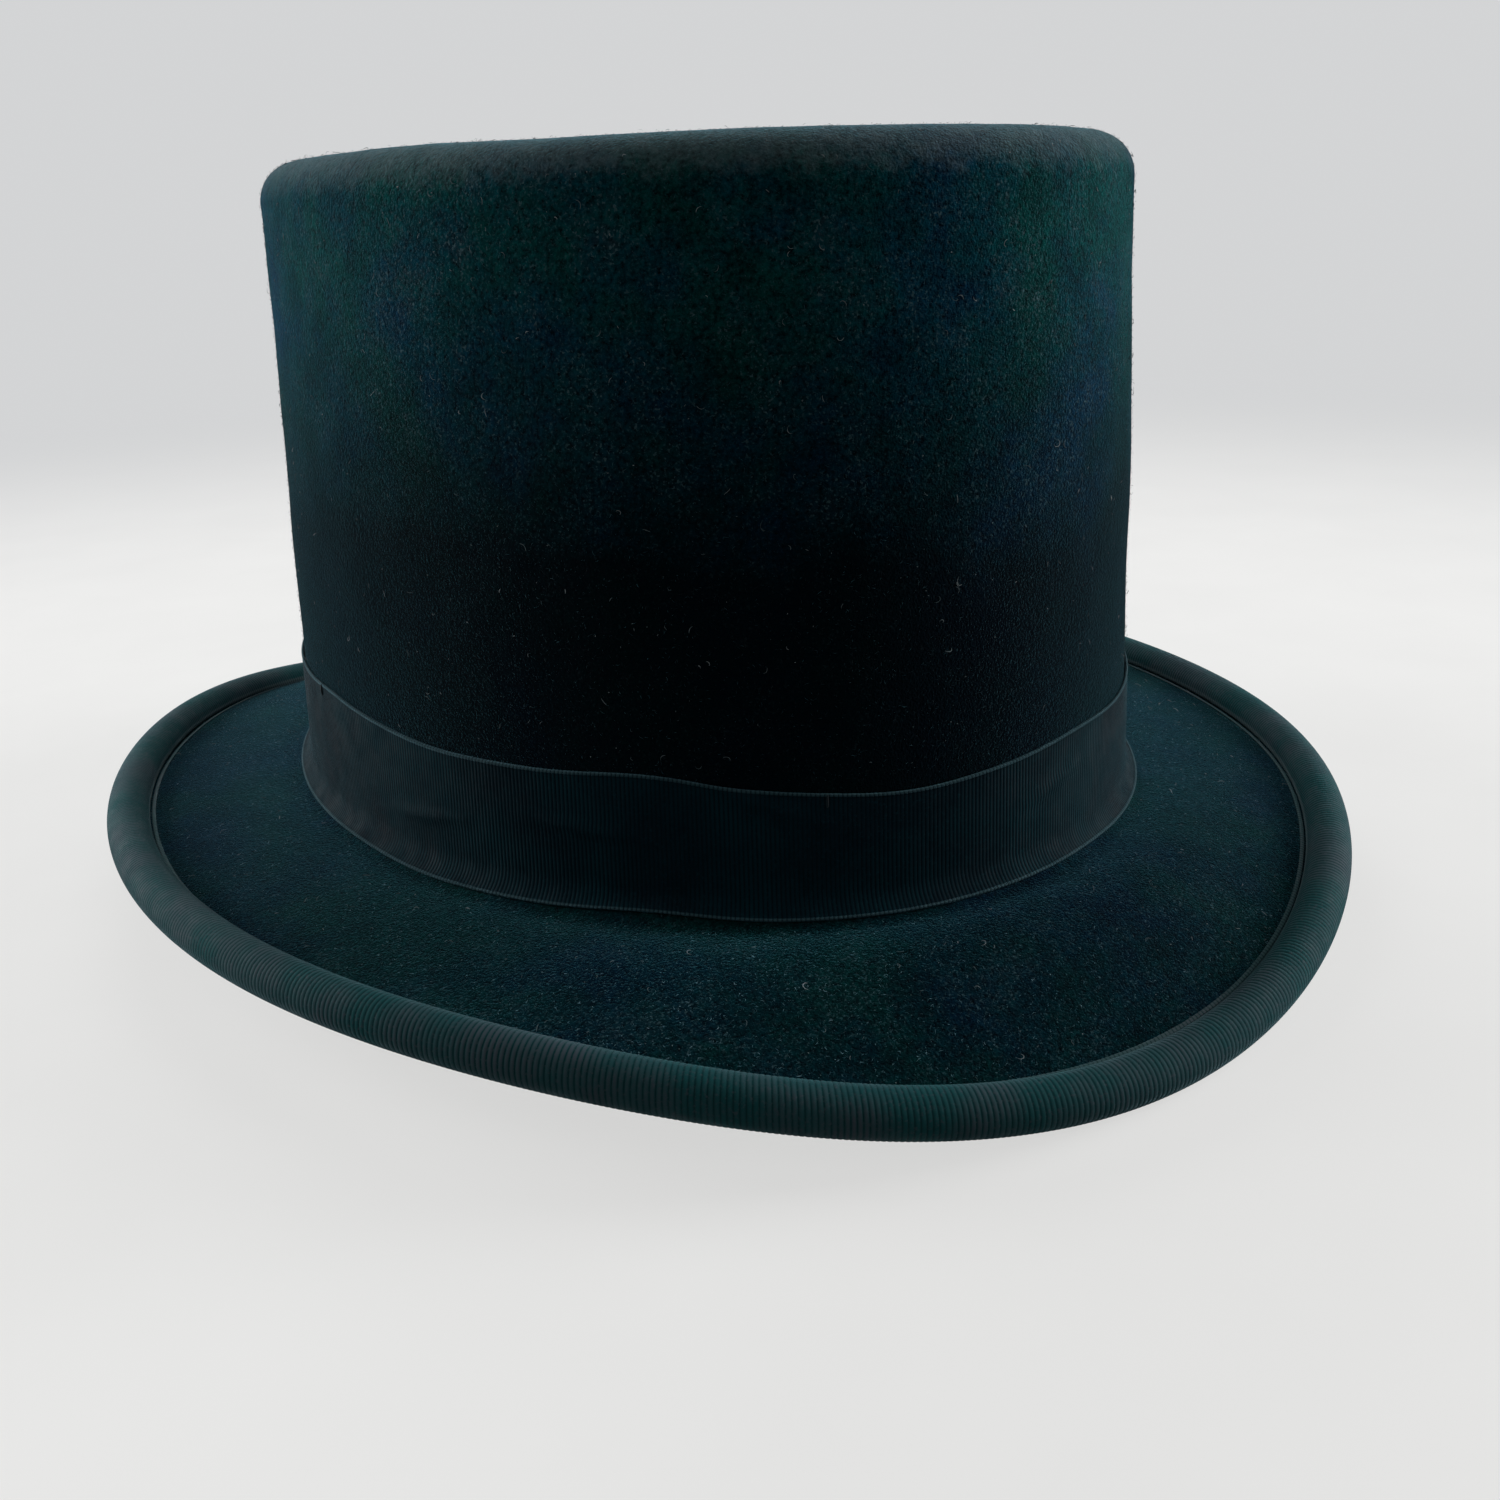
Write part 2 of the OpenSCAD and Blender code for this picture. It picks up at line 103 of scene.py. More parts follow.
@dataclass(frozen=True)
class HatForm:
    """Sizes of the blocked felt, and the curves that its pieces follow."""

    body_length: float = 205 * MM
    body_width: float = 171 * MM
    body_height: float = 124 * MM
    taper: float = 4.2 * MM
    shoulder_radius: float = 8.4 * MM
    cove_radius: float = 6 * MM
    felt: float = 2 * MM
    brim_sides: float = 43 * MM
    brim_ends: float = 45 * MM
    drop_sides: float = 6 * MM
    drop_ends: float = 19.5 * MM
    dip_sharpness: float = 6
    curl_radius: float = 4.1 * MM
    curl_turn: float = math.radians(262)
    brim_lean: float = 1.15
    ribbon: float = 0.5 * MM
    ribbon_gap: float = 0.15 * MM

    @property
    def half(self) -> float:
        """Half the felt's thickness."""
        return self.felt / 2

    @property
    def side_mid(self) -> float:
        """Half axis of the middle oval, from side to side."""
        return self.body_width / 2 - self.half

    @property
    def end_mid(self) -> float:
        """Half axis of the middle oval, from front to back."""
        return self.body_length / 2 - self.half

    @property
    def tip_z(self) -> float:
        """Height of the tip."""
        return self.drop_ends + self.body_height

    @property
    def foot_z(self) -> float:
        """Height of the brim's middle surface at the foot of the side wall."""
        return self.drop_ends - self.half

    @property
    def cove_mid(self) -> float:
        """Radius of the cove at the felt's middle."""
        return self.cove_radius + self.half

    @property
    def cove_z(self) -> float:
        """Height of the cove's centre."""
        return self.foot_z + self.cove_mid

    @property
    def shoulder_mid(self) -> float:
        """Radius of the shoulder at the felt's middle."""
        return self.shoulder_radius - self.half

    @property
    def shoulder_z(self) -> float:
        """Height of the shoulder's centre."""
        return self.tip_z - self.shoulder_radius

    @property
    def shoulder_d(self) -> float:
        """Offset of the shoulder's centre."""
        return self.wall_d(self.shoulder_z) - self.shoulder_mid

    @property
    def curl_mid(self) -> float:
        """Radius of the curl at the felt's middle."""
        return self.curl_radius - self.ribbon - self.ribbon_gap - self.half

    @property
    def ribbon_mid(self) -> float:
        """Distance of a ribbon's middle from the felt's middle."""
        return self.half + self.ribbon_gap + self.ribbon / 2

    def wall_d(self, z: np.ndarray | float) -> np.ndarray | float:
        """Offset of the side wall's middle at a height."""
        return -self.taper * (z - self.cove_z) / (self.shoulder_z - self.cove_z)

    def normal(self, angle: np.ndarray) -> tuple[np.ndarray, np.ndarray]:
        """Outward normal of the oval.

        Args:
            angle: Angles round the oval.

        Returns:
            The normals' x and y.
        """
        x, y = np.cos(angle) / self.side_mid, np.sin(angle) / self.end_mid
        r = np.hypot(x, y)
        return x / r, y / r

    def place(self, angle: np.ndarray, d: np.ndarray, z: np.ndarray) -> np.ndarray:
        """Points at an angle round the oval, an offset from it and a height.

        Args:
            angle: Angles, 0 at the wearer's left and a quarter turn at the back.
            d: Offsets outward along the oval's normal.
            z: Heights.

        Returns:
            An array of the inputs' common shape with a last axis of x, y and z.
        """
        angle, d, z = np.broadcast_arrays(angle, d, z)
        nx, ny = self.normal(angle)
        return np.stack(
            [self.side_mid * np.cos(angle) + nx * d, self.end_mid * np.sin(angle) + ny * d, z], -1
        )

    def even_angles(self, count: int, d: float, closed: bool = True) -> np.ndarray:
        """Angles of points that are evenly spaced along the oval at an offset.

        Args:
            count: How many points.
            d: Offset of the curve that the points lie on.
            closed: Whether the last point stops short of the first, on a full ring.

        Returns:
            The angles, rising from 0.
        """
        fine = np.linspace(0, TURN, FINE_STEPS + 1)
        run = np.r_[0, np.cumsum(np.linalg.norm(np.diff(self.place(fine, d, 0.0), axis=0), axis=1))]
        share = np.arange(count) / (count if closed else count - 1)
        return np.interp(share * run[-1], run, fine)

    def girth(self, d: float) -> float:
        """Length once round the oval at an offset."""
        fine = self.place(np.linspace(0, TURN, FINE_STEPS + 1), d, 0.0)
        return float(np.linalg.norm(np.diff(fine, axis=0), axis=1).sum())

    def curl_centre(self, angle: np.ndarray) -> tuple[np.ndarray, np.ndarray]:
        """Place of the curl's centre in the section at an angle.

        Args:
            angle: Angles round the oval.

        Returns:
            The centres' offsets and heights.
        """
        s = np.sin(angle)
        drop = self.drop_sides + (self.drop_ends - self.drop_sides) * np.abs(s) ** self.dip_sharpness
        width = self.brim_sides + (self.brim_ends - self.brim_sides) * s**2
        return width + self.half - self.curl_radius, self.drop_ends - drop + self.curl_radius

    def brim_slope(self, angle: np.ndarray) -> np.ndarray:
        """Angle at which the brim falls where it runs into the curl."""
        d, z = self.curl_centre(angle)
        return np.arctan(self.brim_lean * (self.foot_z - z + self.curl_mid) / (d - self.cove_mid))

    def curl(self, angle: np.ndarray, out: np.ndarray, turn: np.ndarray) -> np.ndarray:
        """Points on the curl.

        Args:
            angle: Angles round the oval.
            out: Distances outside the felt's middle.
            turn: Turns round the curl from where the brim runs into it.

        Returns:
            The points.
        """
        d, z = self.curl_centre(angle)
        t = turn - TURN / 4 - self.brim_slope(angle)
        r = self.curl_mid + out
        return self.place(angle, d + r * np.cos(t), z + r * np.sin(t))

    def brim(self, angle: np.ndarray, up: np.ndarray, share: np.ndarray) -> np.ndarray:
        """Points on the brim, a distance above the felt's middle.

        Args:
            angle: Angles round the oval.
            up: Distances above the middle surface, or below it where negative.
            share: Shares of the way from the cove at 0 to the curl at 1.

        Returns:
            The points.
        """
        angle, up, u = np.broadcast_arrays(angle, up, share)
        slope = self.brim_slope(angle)
        cd, cz = self.curl_centre(angle)
        qd = cd + self.curl_mid * np.cos(-TURN / 4 - slope)
        qz = cz + self.curl_mid * np.sin(-TURN / 4 - slope)
        pd, pz = self.cove_mid, self.foot_z
        r = np.hypot(qd - pd, qz - pz)
        h0, h1, h2, h3 = 2 * u**3 - 3 * u**2 + 1, u**3 - 2 * u**2 + u, 3 * u**2 - 2 * u**3, u**3 - u**2
        g0, g1, g3 = 6 * u**2 - 6 * u, 3 * u**2 - 4 * u + 1, 3 * u**2 - 2 * u
        td, tz = r * np.cos(slope), -r * np.sin(slope)
        d = h0 * pd + h1 * r + h2 * qd + h3 * td
        z = h0 * pz + h2 * qz + h3 * tz
        gd = g0 * (pd - qd) + g1 * r + g3 * td
        gz = g0 * (pz - qz) + g3 * tz
        g = np.hypot(gd, gz)
        return self.place(angle, d - up * gz / g, z + up * gd / g)

    def brim_run(self, angle: np.ndarray) -> np.ndarray:
        """Length of the brim's chord from the cove to the curl.

        Args:
            angle: Angles round the oval.

        Returns:
            The lengths.
        """
        d, z = self.curl_centre(angle)
        s = self.brim_slope(angle)
        return np.hypot(
            d - self.curl_mid * np.sin(s) - self.cove_mid, z - self.curl_mid * np.cos(s) - self.foot_z
        )

    def cove(self, angle: np.ndarray, out: np.ndarray, turn: np.ndarray) -> np.ndarray:
        """Points on the cove, a distance outside the felt's middle, after a turn from the wall."""
        r = self.cove_mid - out
        return self.place(angle, self.cove_mid - r * np.cos(turn), self.cove_z - r * np.sin(turn))

    def shoulder(self, angle: np.ndarray, out: np.ndarray, turn: np.ndarray) -> np.ndarray:
        """Points on the shoulder.

        Args:
            angle: Angles round the oval.
            out: Distance outside the felt's middle.
            turn: Turn up from level.

        Returns:
            The points.
        """
        r = self.shoulder_mid + out
        return self.place(
            angle, self.shoulder_d + r * np.cos(turn), self.shoulder_z + r * np.sin(turn)
        )


FORM = HatForm()


@dataclass(frozen=True)
class Swell:
    """Smooth random unevenness of a hand-made surface."""

    wavelength: float
    height: float
    seed: int
    waves: int = 28

    def __call__(self, points: np.ndarray) -> np.ndarray:
        """Height of the unevenness at points.

        Args:
            points: Points, with a last axis of x, y and z.

        Returns:
            One height for each point.
        """
        rng = np.random.default_rng(self.seed)
        total = np.zeros(points.shape[:-1])
        for _ in range(self.waves):
            way = rng.normal(size=3)
            way *= TURN / (self.wavelength * rng.uniform(0.7, 1.6)) / np.linalg.norm(way)
            total += np.sin(points @ way + rng.uniform(0, TURN))
        return total * self.height / math.sqrt(self.waves / 2)


# ---------------------------------------------------------------------------------------------
# Meshes
# ---------------------------------------------------------------------------------------------


def smooth_mesh(mesh: bpy.types.Mesh, marks: dict[str, np.ndarray] | None) -> bpy.types.Mesh:
    """Smooth a mesh, and keep values on its points.

    Args:
        mesh: The mesh.
        marks: Values of each point, by name.

    Returns:
        The same mesh.
    """
    mesh.polygons.foreach_set("use_smooth", [True] * len(mesh.polygons))
    for mark, values in (marks or {}).items():
        layer = mesh.attributes.new(mark, "FLOAT", "POINT")
        layer.data.foreach_set("value", np.ascontiguousarray(values, dtype=np.float32).reshape(-1))
    mesh.update()
    return mesh


def grid_mesh(
    name: str,
    points: np.ndarray,
    closed: bool = True,
    wrap: bool = True,
    sizes: tuple[float, float] = (1.0, 1.0),
    marks: dict[str, np.ndarray] | None = None,
) -> bpy.types.Mesh:
    """Mesh through a grid of points, columns by rows.

    Args:
        name: Name of the mesh.
        points: Array of columns, rows and x, y, z.
        closed: Whether the last column joins the first.
        wrap: Whether the last row joins the first, so that each column is a closed section.
        sizes: Real length along the columns and width along the rows, for the texture map.
        marks: Values of each point to keep on the mesh, by name.

    Returns:
        The mesh, smooth, with its texture map in metres.
    """
    columns, rows = points.shape[:2]
    i, j = np.meshgrid(
        np.arange(columns if closed else columns - 1), np.arange(rows if wrap else rows - 1), indexing="ij"
    )
    i1, j1 = (i + 1) % columns, (j + 1) % rows
    faces = np.stack([i * rows + j, i * rows + j1, i1 * rows + j1, i1 * rows + j], -1).reshape(-1, 4)
    mesh = bpy.data.meshes.new(name)
    if wrap and not closed:
        ends = [list(range(rows))[::-1], [(columns - 1) * rows + k for k in range(rows)]]
        mesh.from_pydata(points.reshape(-1, 3).tolist(), [], faces.tolist() + ends)
    else:
        mesh.from_pydata(points.reshape(-1, 3), [], faces)
    across = np.stack([i, i, i + 1, i + 1], -1) / columns * sizes[0]
    along = np.stack([j, j + 1, j + 1, j], -1) / rows * sizes[1]
    flat = np.zeros((len(mesh.loops), 2))
    flat[: faces.size] = np.stack([across.reshape(-1), along.reshape(-1)], -1)
    mesh.uv_layers.new(name="cloth").data.foreach_set("uv", flat.reshape(-1))
    return smooth_mesh(mesh, marks)


def two_skins(near: np.ndarray, far: np.ndarray) -> np.ndarray:
    """Rows of one skin of a sheet, and then the rows of its other skin in reverse."""
    return np.concatenate([near, far[:, ::-1]], 1)


def loose_mesh(
    name: str, points: np.ndarray, faces: np.ndarray, marks: dict[str, np.ndarray] | None = None
) -> bpy.types.Mesh:
    """Mesh of many small separate solids.

    Args:
        name: Name of the mesh.
        points: Points, one row each.
        faces: Point numbers of each face, one row each.
        marks: Values of each point to keep on the mesh, by name.

    Returns:
        The mesh, smooth.
    """
    mesh = bpy.data.meshes.new(name)
    mesh.from_pydata(points, [], faces)
    return smooth_mesh(mesh, marks)


def unit(vectors: np.ndarray) -> np.ndarray:
    """Vectors of the same directions and of length 1."""
    return vectors / np.maximum(np.linalg.norm(vectors, axis=-1, keepdims=True), 1e-12)


def strands(
    paths: np.ndarray, radius: np.ndarray, sides: int, taper: np.ndarray
) -> tuple[np.ndarray, np.ndarray]:
    """Closed round strands along many paths of equal length, pointed at both ends.

    Args:
        paths: Array of strands, stations and x, y, z.
        radius: Radius of each strand.
        sides: Sides of a strand's section.
        taper: Share of the radius at each station between the ends.

    Returns:
        Points of all strands, and their triangles.
    """
    count, rings = paths.shape[0], paths.shape[1] - 2
    way = unit(paths[:, 2:] - paths[:, :-2])
    side = unit(np.cross(way, np.array([0.31, 0.52, 0.8])))
    third = np.cross(way, side)
    t = np.arange(sides) * TURN / sides
    ring = side[:, :, None] * np.cos(t)[:, None] + third[:, :, None] * np.sin(t)[:, None]
    body = paths[:, 1:-1, None] + ring * (radius[:, None, None, None] * taper[None, :, None, None])
    points = np.concatenate([body.reshape(count, rings * sides, 3), paths[:, :1], paths[:, -1:]], axis=1)
    faces = []
    for s in range(rings - 1):
        for k in range(sides):
            a, b = s * sides + k, s * sides + (k + 1) % sides
            faces += [(a, b, b + sides), (a, b + sides, a + sides)]
    first, last = rings * sides, rings * sides + 1
    for k in range(sides):
        faces.append((first, (k + 1) % sides, k))
        faces.append((last, (rings - 1) * sides + k, (rings - 1) * sides + (k + 1) % sides))
    each = np.array(faces)
    return (
        points.reshape(-1, 3),
        (each[None] + np.arange(count)[:, None, None] * (rings * sides + 2)).reshape(-1, 3),
    )


def close_middle(mesh: bpy.types.Mesh, columns: int, rows: int) -> None:
    """Close the small openings at the middle of a round sheet.

    Args:
        mesh: Mesh whose columns start and end at the rims of the openings.
        columns: How many columns it has.
        rows: Rows of points in each column.
    """
    shape = bmesh.new()
    shape.from_mesh(mesh)
    shape.verts.ensure_lookup_table()
    for row in (0, rows - 1):
        shape.faces.new([shape.verts[i * rows + row] for i in range(columns)]).smooth = True
    bmesh.ops.recalc_face_normals(shape, faces=shape.faces)
    shape.to_mesh(mesh)
    shape.free()


def show(
    name: str,
    mesh: bpy.types.Mesh,
    material: bpy.types.Material,
    nodes: Sequence[str] = (),
) -> bpy.types.Object:
    """Put a piece in the scene, on the hat.

    Args:
        name: Name of the piece.
        mesh: Its mesh.
        material: Its finish.
        nodes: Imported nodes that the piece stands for.

    Returns:
        The piece.
    """
    piece = bpy.data.objects.new(name, mesh)
    bpy.context.scene.collection.objects.link(piece)
    mesh.materials.append(material)
    if nodes:
        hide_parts(*nodes)
    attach(piece, BODY)
    LOG.info("%s: %d faces", name, len(mesh.polygons))
    return piece


# ---------------------------------------------------------------------------------------------
# Finishes
# ---------------------------------------------------------------------------------------------


class Painter:
    """Builds the nodes of one material."""

    def __init__(self, name: str) -> None:
        """Start a material with one Principled shader.

        Args:
            name: Name of the material.
        """
        self.material = bpy.data.materials.new(name)
        self.material.use_nodes = True
        self.tree = self.material.node_tree
        self.shader = self.tree.nodes["Principled BSDF"]

    def add(
        self, kind: str, inputs: dict[str | int, object] | None = None, **settings: object
    ) -> bpy.types.Node:
        """Add a node.

        Args:
            kind: Type name of the node.
            inputs: Values of its sockets, or the sockets that they are linked from.
            **settings: Values of its properties.

        Returns:
            The node.
        """
        node = self.tree.nodes.new(kind)
        for key, value in settings.items():
            setattr(node, key, value)
        for key, value in (inputs or {}).items():
            self.set(node, key, value)
        return node

    def set(self, node: bpy.types.Node, key: str | int, value: object) -> None:
        """Set a socket of a node to a value, or link it from another socket.

        Args:
            node: The node.
            key: Name or number of its socket.
            value: A number, a colour, a vector or a socket.
        """
        if isinstance(value, bpy.types.NodeSocket):
            self.tree.links.new(value, node.inputs[key])
        elif isinstance(value, tuple) and len(value) == 3 and node.inputs[key].type == "RGBA":
            node.inputs[key].default_value = (*value, 1.0)
        else:
            node.inputs[key].default_value = value

    def dress(self, **sockets: object) -> None:
        """Set sockets of the shader, with spaces written as underscores."""
        for key, value in sockets.items():
            self.set(self.shader, key.replace("_", " "), value)

    def place(self) -> bpy.types.NodeSocket:
        """Position on the object, in metres."""
        return self.add("ShaderNodeTexCoord").outputs["Object"]

    def map(self) -> bpy.types.NodeSocket:
        """Position on the flat cloth, in metres."""
        return self.add("ShaderNodeUVMap", uv_map="cloth").outputs["UV"]

    def mark(self, name: str) -> bpy.types.NodeSocket:
        """A value that the mesh keeps at each point."""
        return self.add("ShaderNodeAttribute", attribute_name=name).outputs["Fac"]

    def stretch(self, vector: bpy.types.NodeSocket, scale: Colour) -> bpy.types.NodeSocket:
        """A position, scaled along each axis."""
        return self.add("ShaderNodeMapping", {"Vector": vector, "Scale": scale}).outputs["Vector"]

    def noise(
        self, vector: bpy.types.NodeSocket, size: float, detail: float = 3.0, rough: float = 0.55
    ) -> bpy.types.NodeSocket:
        """Noise whose patches have a size in metres."""
        inputs = {"Vector": vector, "Scale": 1.0 / size, "Detail": detail, "Roughness": rough}
        return self.add("ShaderNodeTexNoise", inputs).outputs["Fac"]

    def bands(
        self, vector: bpy.types.NodeSocket, scale: float, distortion: float, across: Across, **sockets: float
    ) -> bpy.types.NodeSocket:
        """Soft bands across one way of a position.

        Args:
            vector: The position.
            scale: Scale of the bands.
            distortion: How wavy they are.
            across: How they lie.
            **sockets: Values of further sockets, with spaces written as underscores.

        Returns:
            The bands, from 0 to 1.
        """
        inputs = {"Vector": vector, "Scale": scale, "Distortion": distortion, "Detail": 1.0}
        inputs.update({key.replace("_", " "): value for key, value in sockets.items()})
        wave = self.add("ShaderNodeTexWave", inputs, wave_type="BANDS", bands_direction=across.value)
        return wave.outputs["Fac"]

    def span(
        self,
        value: bpy.types.NodeSocket,
        low: float,
        high: float,
        to_low: float = 0.0,
        to_high: float = 1.0,
        **settings: str,
    ) -> bpy.types.NodeSocket:
        """A value brought from one range to another, and kept inside it."""
        inputs = {"Value": value, "From Min": low, "From Max": high, "To Min": to_low, "To Max": to_high}
        return self.add("ShaderNodeMapRange", inputs, **settings).outputs["Result"]

    def plus(self, a: object, b: object) -> bpy.types.NodeSocket:
        """The sum of two values."""
        return self.add("ShaderNodeMath", {0: a, 1: b}, operation="ADD").outputs[0]

    def times(self, a: object, b: object) -> bpy.types.NodeSocket:
        """The product of two values."""
        return self.add("ShaderNodeMath", {0: a, 1: b}, operation="MULTIPLY").outputs[0]

    def larger(self, a: object, b: object) -> bpy.types.NodeSocket:
        """The larger of two values."""
        return self.add("ShaderNodeMath", {0: a, 1: b}, operation="MAXIMUM").outputs[0]

    def mix(self, share: object, a: object, b: object) -> bpy.types.NodeSocket:
        """Mix two colours.

        Args:
            share: Share of the second colour.
            a: The first colour.
            b: The second colour.

        Returns:
            The mixed colour.
        """
        node = self.add("ShaderNodeMix", data_type="RGBA")
        for socket, value in ((0, share), (6, a), (7, b)):
            self.set(node, socket, value)
        return node.outputs[2]

    def bump(self, height: bpy.types.NodeSocket, depth: float, strength: float = 1.0) -> bpy.types.NodeSocket:
        """A surface normal from a height whose full range is a depth in metres."""
        inputs = {"Height": height, "Distance": depth, "Strength": strength}
        return self.add("ShaderNodeBump", inputs).outputs["Normal"]


@dataclass(frozen=True)
class FeltFinish:
    """Brushed fur felt with a short nap, faded unevenly, with painted shade low down and grey along the
    shoulder.

    The wall is darkened with painted shade up to where its fade starts, and full of colour above its end. The
    brim keeps a share of the colour under more painted shade, which ends where the wall starts. The grey
    along the shoulder is partly wear and partly a painted sheen highlight.
    """

    deep: Colour = (0.0002, 0.0016, 0.0034)
    blue: Colour = (0.0007, 0.0520, 0.1180)
    green: Colour = (0.0003, 0.1000, 0.0940)
    plum: Colour = (0.0220, 0.0250, 0.0360)
    grey: Colour = (0.0300, 0.0620, 0.0740)
    # Grey along the shoulder, partly wear and partly a painted sheen highlight.
    worn: Colour = (0.1200, 0.1600, 0.1720)
    speck: Colour = (0.0560, 0.1100, 0.1260)
    sheen: Colour = (0.15, 0.53, 0.68)
    sheen_weight: float = 0.50
    sheen_roughness: float = 0.19
    fur_depth: float = 0.32 * MM
    grain_size: float = 0.9 * MM
    fine_size: float = 0.45 * MM
    speck_size: float = 0.5 * MM
    worn_sheen_rim_size: float = 3 * MM
    cloud_size: float = 10 * MM
    patch_size: float = 30 * MM
    # Painted shade: the wall's colour darkens to its least share below these heights, and the brim keeps only
    # its share.
    wall_painted_shade_fade: Range = (102 * MM, 146 * MM)
    wall_least_under_painted_shade: float = 0.05
    brim_painted_shade_fade: Range = (20 * MM, 34 * MM)
    brim_share_under_painted_shade: float = 0.34
    stray: float = 50 * MM

    def material(self) -> bpy.types.Material:
        """Mix the felt's colours and its nap.

        Returns:
            The felt's material.
        """
        p = Painter("felt")
        at = p.place()
        high = p.add("ShaderNodeSeparateXYZ", {"Vector": at}).outputs["Z"]
        grain = p.noise(at, self.grain_size, 4.0, 0.7)
        fine = p.noise(at, self.fine_size, 2.0, 0.6)
        cloud = p.noise(at, self.cloud_size, 6.0, 0.75)
        tint = p.mix(p.span(p.noise(at, self.patch_size, 5.0, 0.65), 0.40, 0.62), self.green, self.blue)
        # Painted shade: full colour high on the wall, darker below it and kept at a share over the brim;
        # dust, flecks and specks follow this mask.
        rise = p.plus(high, p.times(p.noise(at, self.patch_size, 3.0), self.stray))
        fade = p.larger(
            p.span(rise, *self.wall_painted_shade_fade, self.wall_least_under_painted_shade, 1.0),
            p.span(high, *self.brim_painted_shade_fade, self.brim_share_under_painted_shade, 0.0),
        )
        tone = p.times(p.span(grain, 0.30, 0.68), p.span(cloud, 0.32, 0.60, 0.50, 1.0))
        colour = p.mix(p.times(tone, fade), self.deep, tint)
        dust = p.times(p.span(cloud, 0.52, 0.70, 0.0, 0.8), p.span(fine, 0.40, 0.60))
        colour = p.mix(p.times(dust, fade), colour, self.plum)
        fleck = p.times(p.span(fine, 0.58, 0.74), p.span(grain, 0.42, 0.62))
        colour = p.mix(p.times(fleck, fade), colour, self.grey)
        speck = p.span(p.noise(at, self.speck_size, 1.0, 0.5), 0.60, 0.70)
        speck = p.times(speck, p.span(cloud, 0.42, 0.62, 0.08, 1.0))
        colour = p.mix(p.times(speck, p.span(fade, 0.0, 0.6, 0.03, 1.0)), colour, self.speck)
        # Painted sheen highlight along the shoulder, together with real wear: the wear mark and a noise turn
        # the felt grey there.
        rim = p.plus(p.mark("wear"), p.span(p.noise(at, self.worn_sheen_rim_size, 5.0, 0.8), 0.25, 0.75, -0.35, 0.35))
        rim = p.times(p.span(rim, 0.20, 1.10), p.span(grain, 0.30, 0.60, 0.40, 0.85))
        p.dress(
            Base_Color=p.mix(rim, colour, self.worn),
            Roughness=p.span(grain, 0.2, 0.8, 0.85, 1.0),
            Specular_IOR_Level=0.02,
            Sheen_Weight=self.sheen_weight,
            Sheen_Roughness=self.sheen_roughness,
            Sheen_Tint=self.sheen,
            Normal=p.bump(p.plus(grain, p.times(fine, 0.8)), self.fur_depth),
        )
        return p.material


@dataclass(frozen=True)
class FibreFinish:
    """Single hairs that stand out of the felt, or lint that lies on it."""

    name: str
    dark: Colour
    light: Colour
    sheen_weight: float = 0.1
    patch_size: float = 0.6 * MM

    def material(self) -> bpy.types.Material:
        """Colour the hairs, each with its own shade.

        Returns:
            The hairs' material.
        """
        p = Painter(self.name)
        uneven = p.noise(p.place(), self.patch_size, 2.0)
        shade = p.times(p.mark("shade"), p.span(uneven, 0.3, 0.7, 0.6, 1.0))
        p.dress(
            Base_Color=p.mix(shade, self.dark, self.light),
            Roughness=p.span(uneven, 0.3, 0.7, 0.7, 0.95),
            Specular_IOR_Level=0.05,
            Sheen_Weight=self.sheen_weight,
        )
        return p.material


@dataclass(frozen=True)
class GrosgrainFinish:
    """Ribbed ribbon, with painted shade in the valleys between its ribs and a painted sheen on its selvedges.
    """

    name: str
    # Painted shade of the valleys between the ribs.
    painted_valley_shade: Colour
    crest: Colour
    worn: Colour
    # Painted sheen highlight along the ribbon's edges.
    selvedge_painted_sheen: Colour
    sheen: Colour = (0.42, 0.72, 0.82)
    sheen_weight: float = 0.28
    sheen_roughness: float = 0.19
    thread: float = 0.22 * MM
    thread_depth: float = 0.03 * MM
    lint_size: float = 0.6 * MM
    wear_size: float = 4 * MM
    patch_size: float = 18 * MM

    def material(self) -> bpy.types.Material:
        """Mix the ribbon's colours and lay its threads.

        Returns:
            The ribbon's material.
        """
        p = Painter(self.name)
        at, flat = p.place(), p.map()
        rib, edge = p.mark("rib"), p.mark("edge")
        fade = p.span(p.noise(at, self.patch_size, 5.0, 0.65), 0.40, 0.64)
        # Painted shade: darker in the valleys between the ribs, full colour on the crests.
        colour = p.mix(p.span(rib, 0.15, 0.95), self.painted_valley_shade, self.crest)
        colour = p.mix(p.times(fade, p.span(rib, 0.4, 1.0)), colour, self.worn)
        lint = p.span(p.noise(at, self.lint_size, 3.0, 0.7), 0.54, 0.70)
        colour = p.mix(p.times(lint, 0.7), colour, self.worn)
        threads = p.bands(flat, 2 / (TURN * self.thread), 0.6, Across.Y, Detail_Scale=2.0)
        p.dress(
            # Painted sheen: the selvedges are lightened to a pale colour.
            Base_Color=p.mix(p.times(edge, p.span(rib, 0.15, 0.9, 0.2, 1.0)), colour, self.selvedge_painted_sheen),
            Roughness=p.span(p.noise(at, self.wear_size), 0.3, 0.7, 0.62, 0.82),
            Specular_IOR_Level=0.04,
            Sheen_Weight=self.sheen_weight,
            Sheen_Roughness=self.sheen_roughness,
            Sheen_Tint=self.sheen,
            Normal=p.bump(threads, self.thread_depth, 0.8),
        )
        return p.material


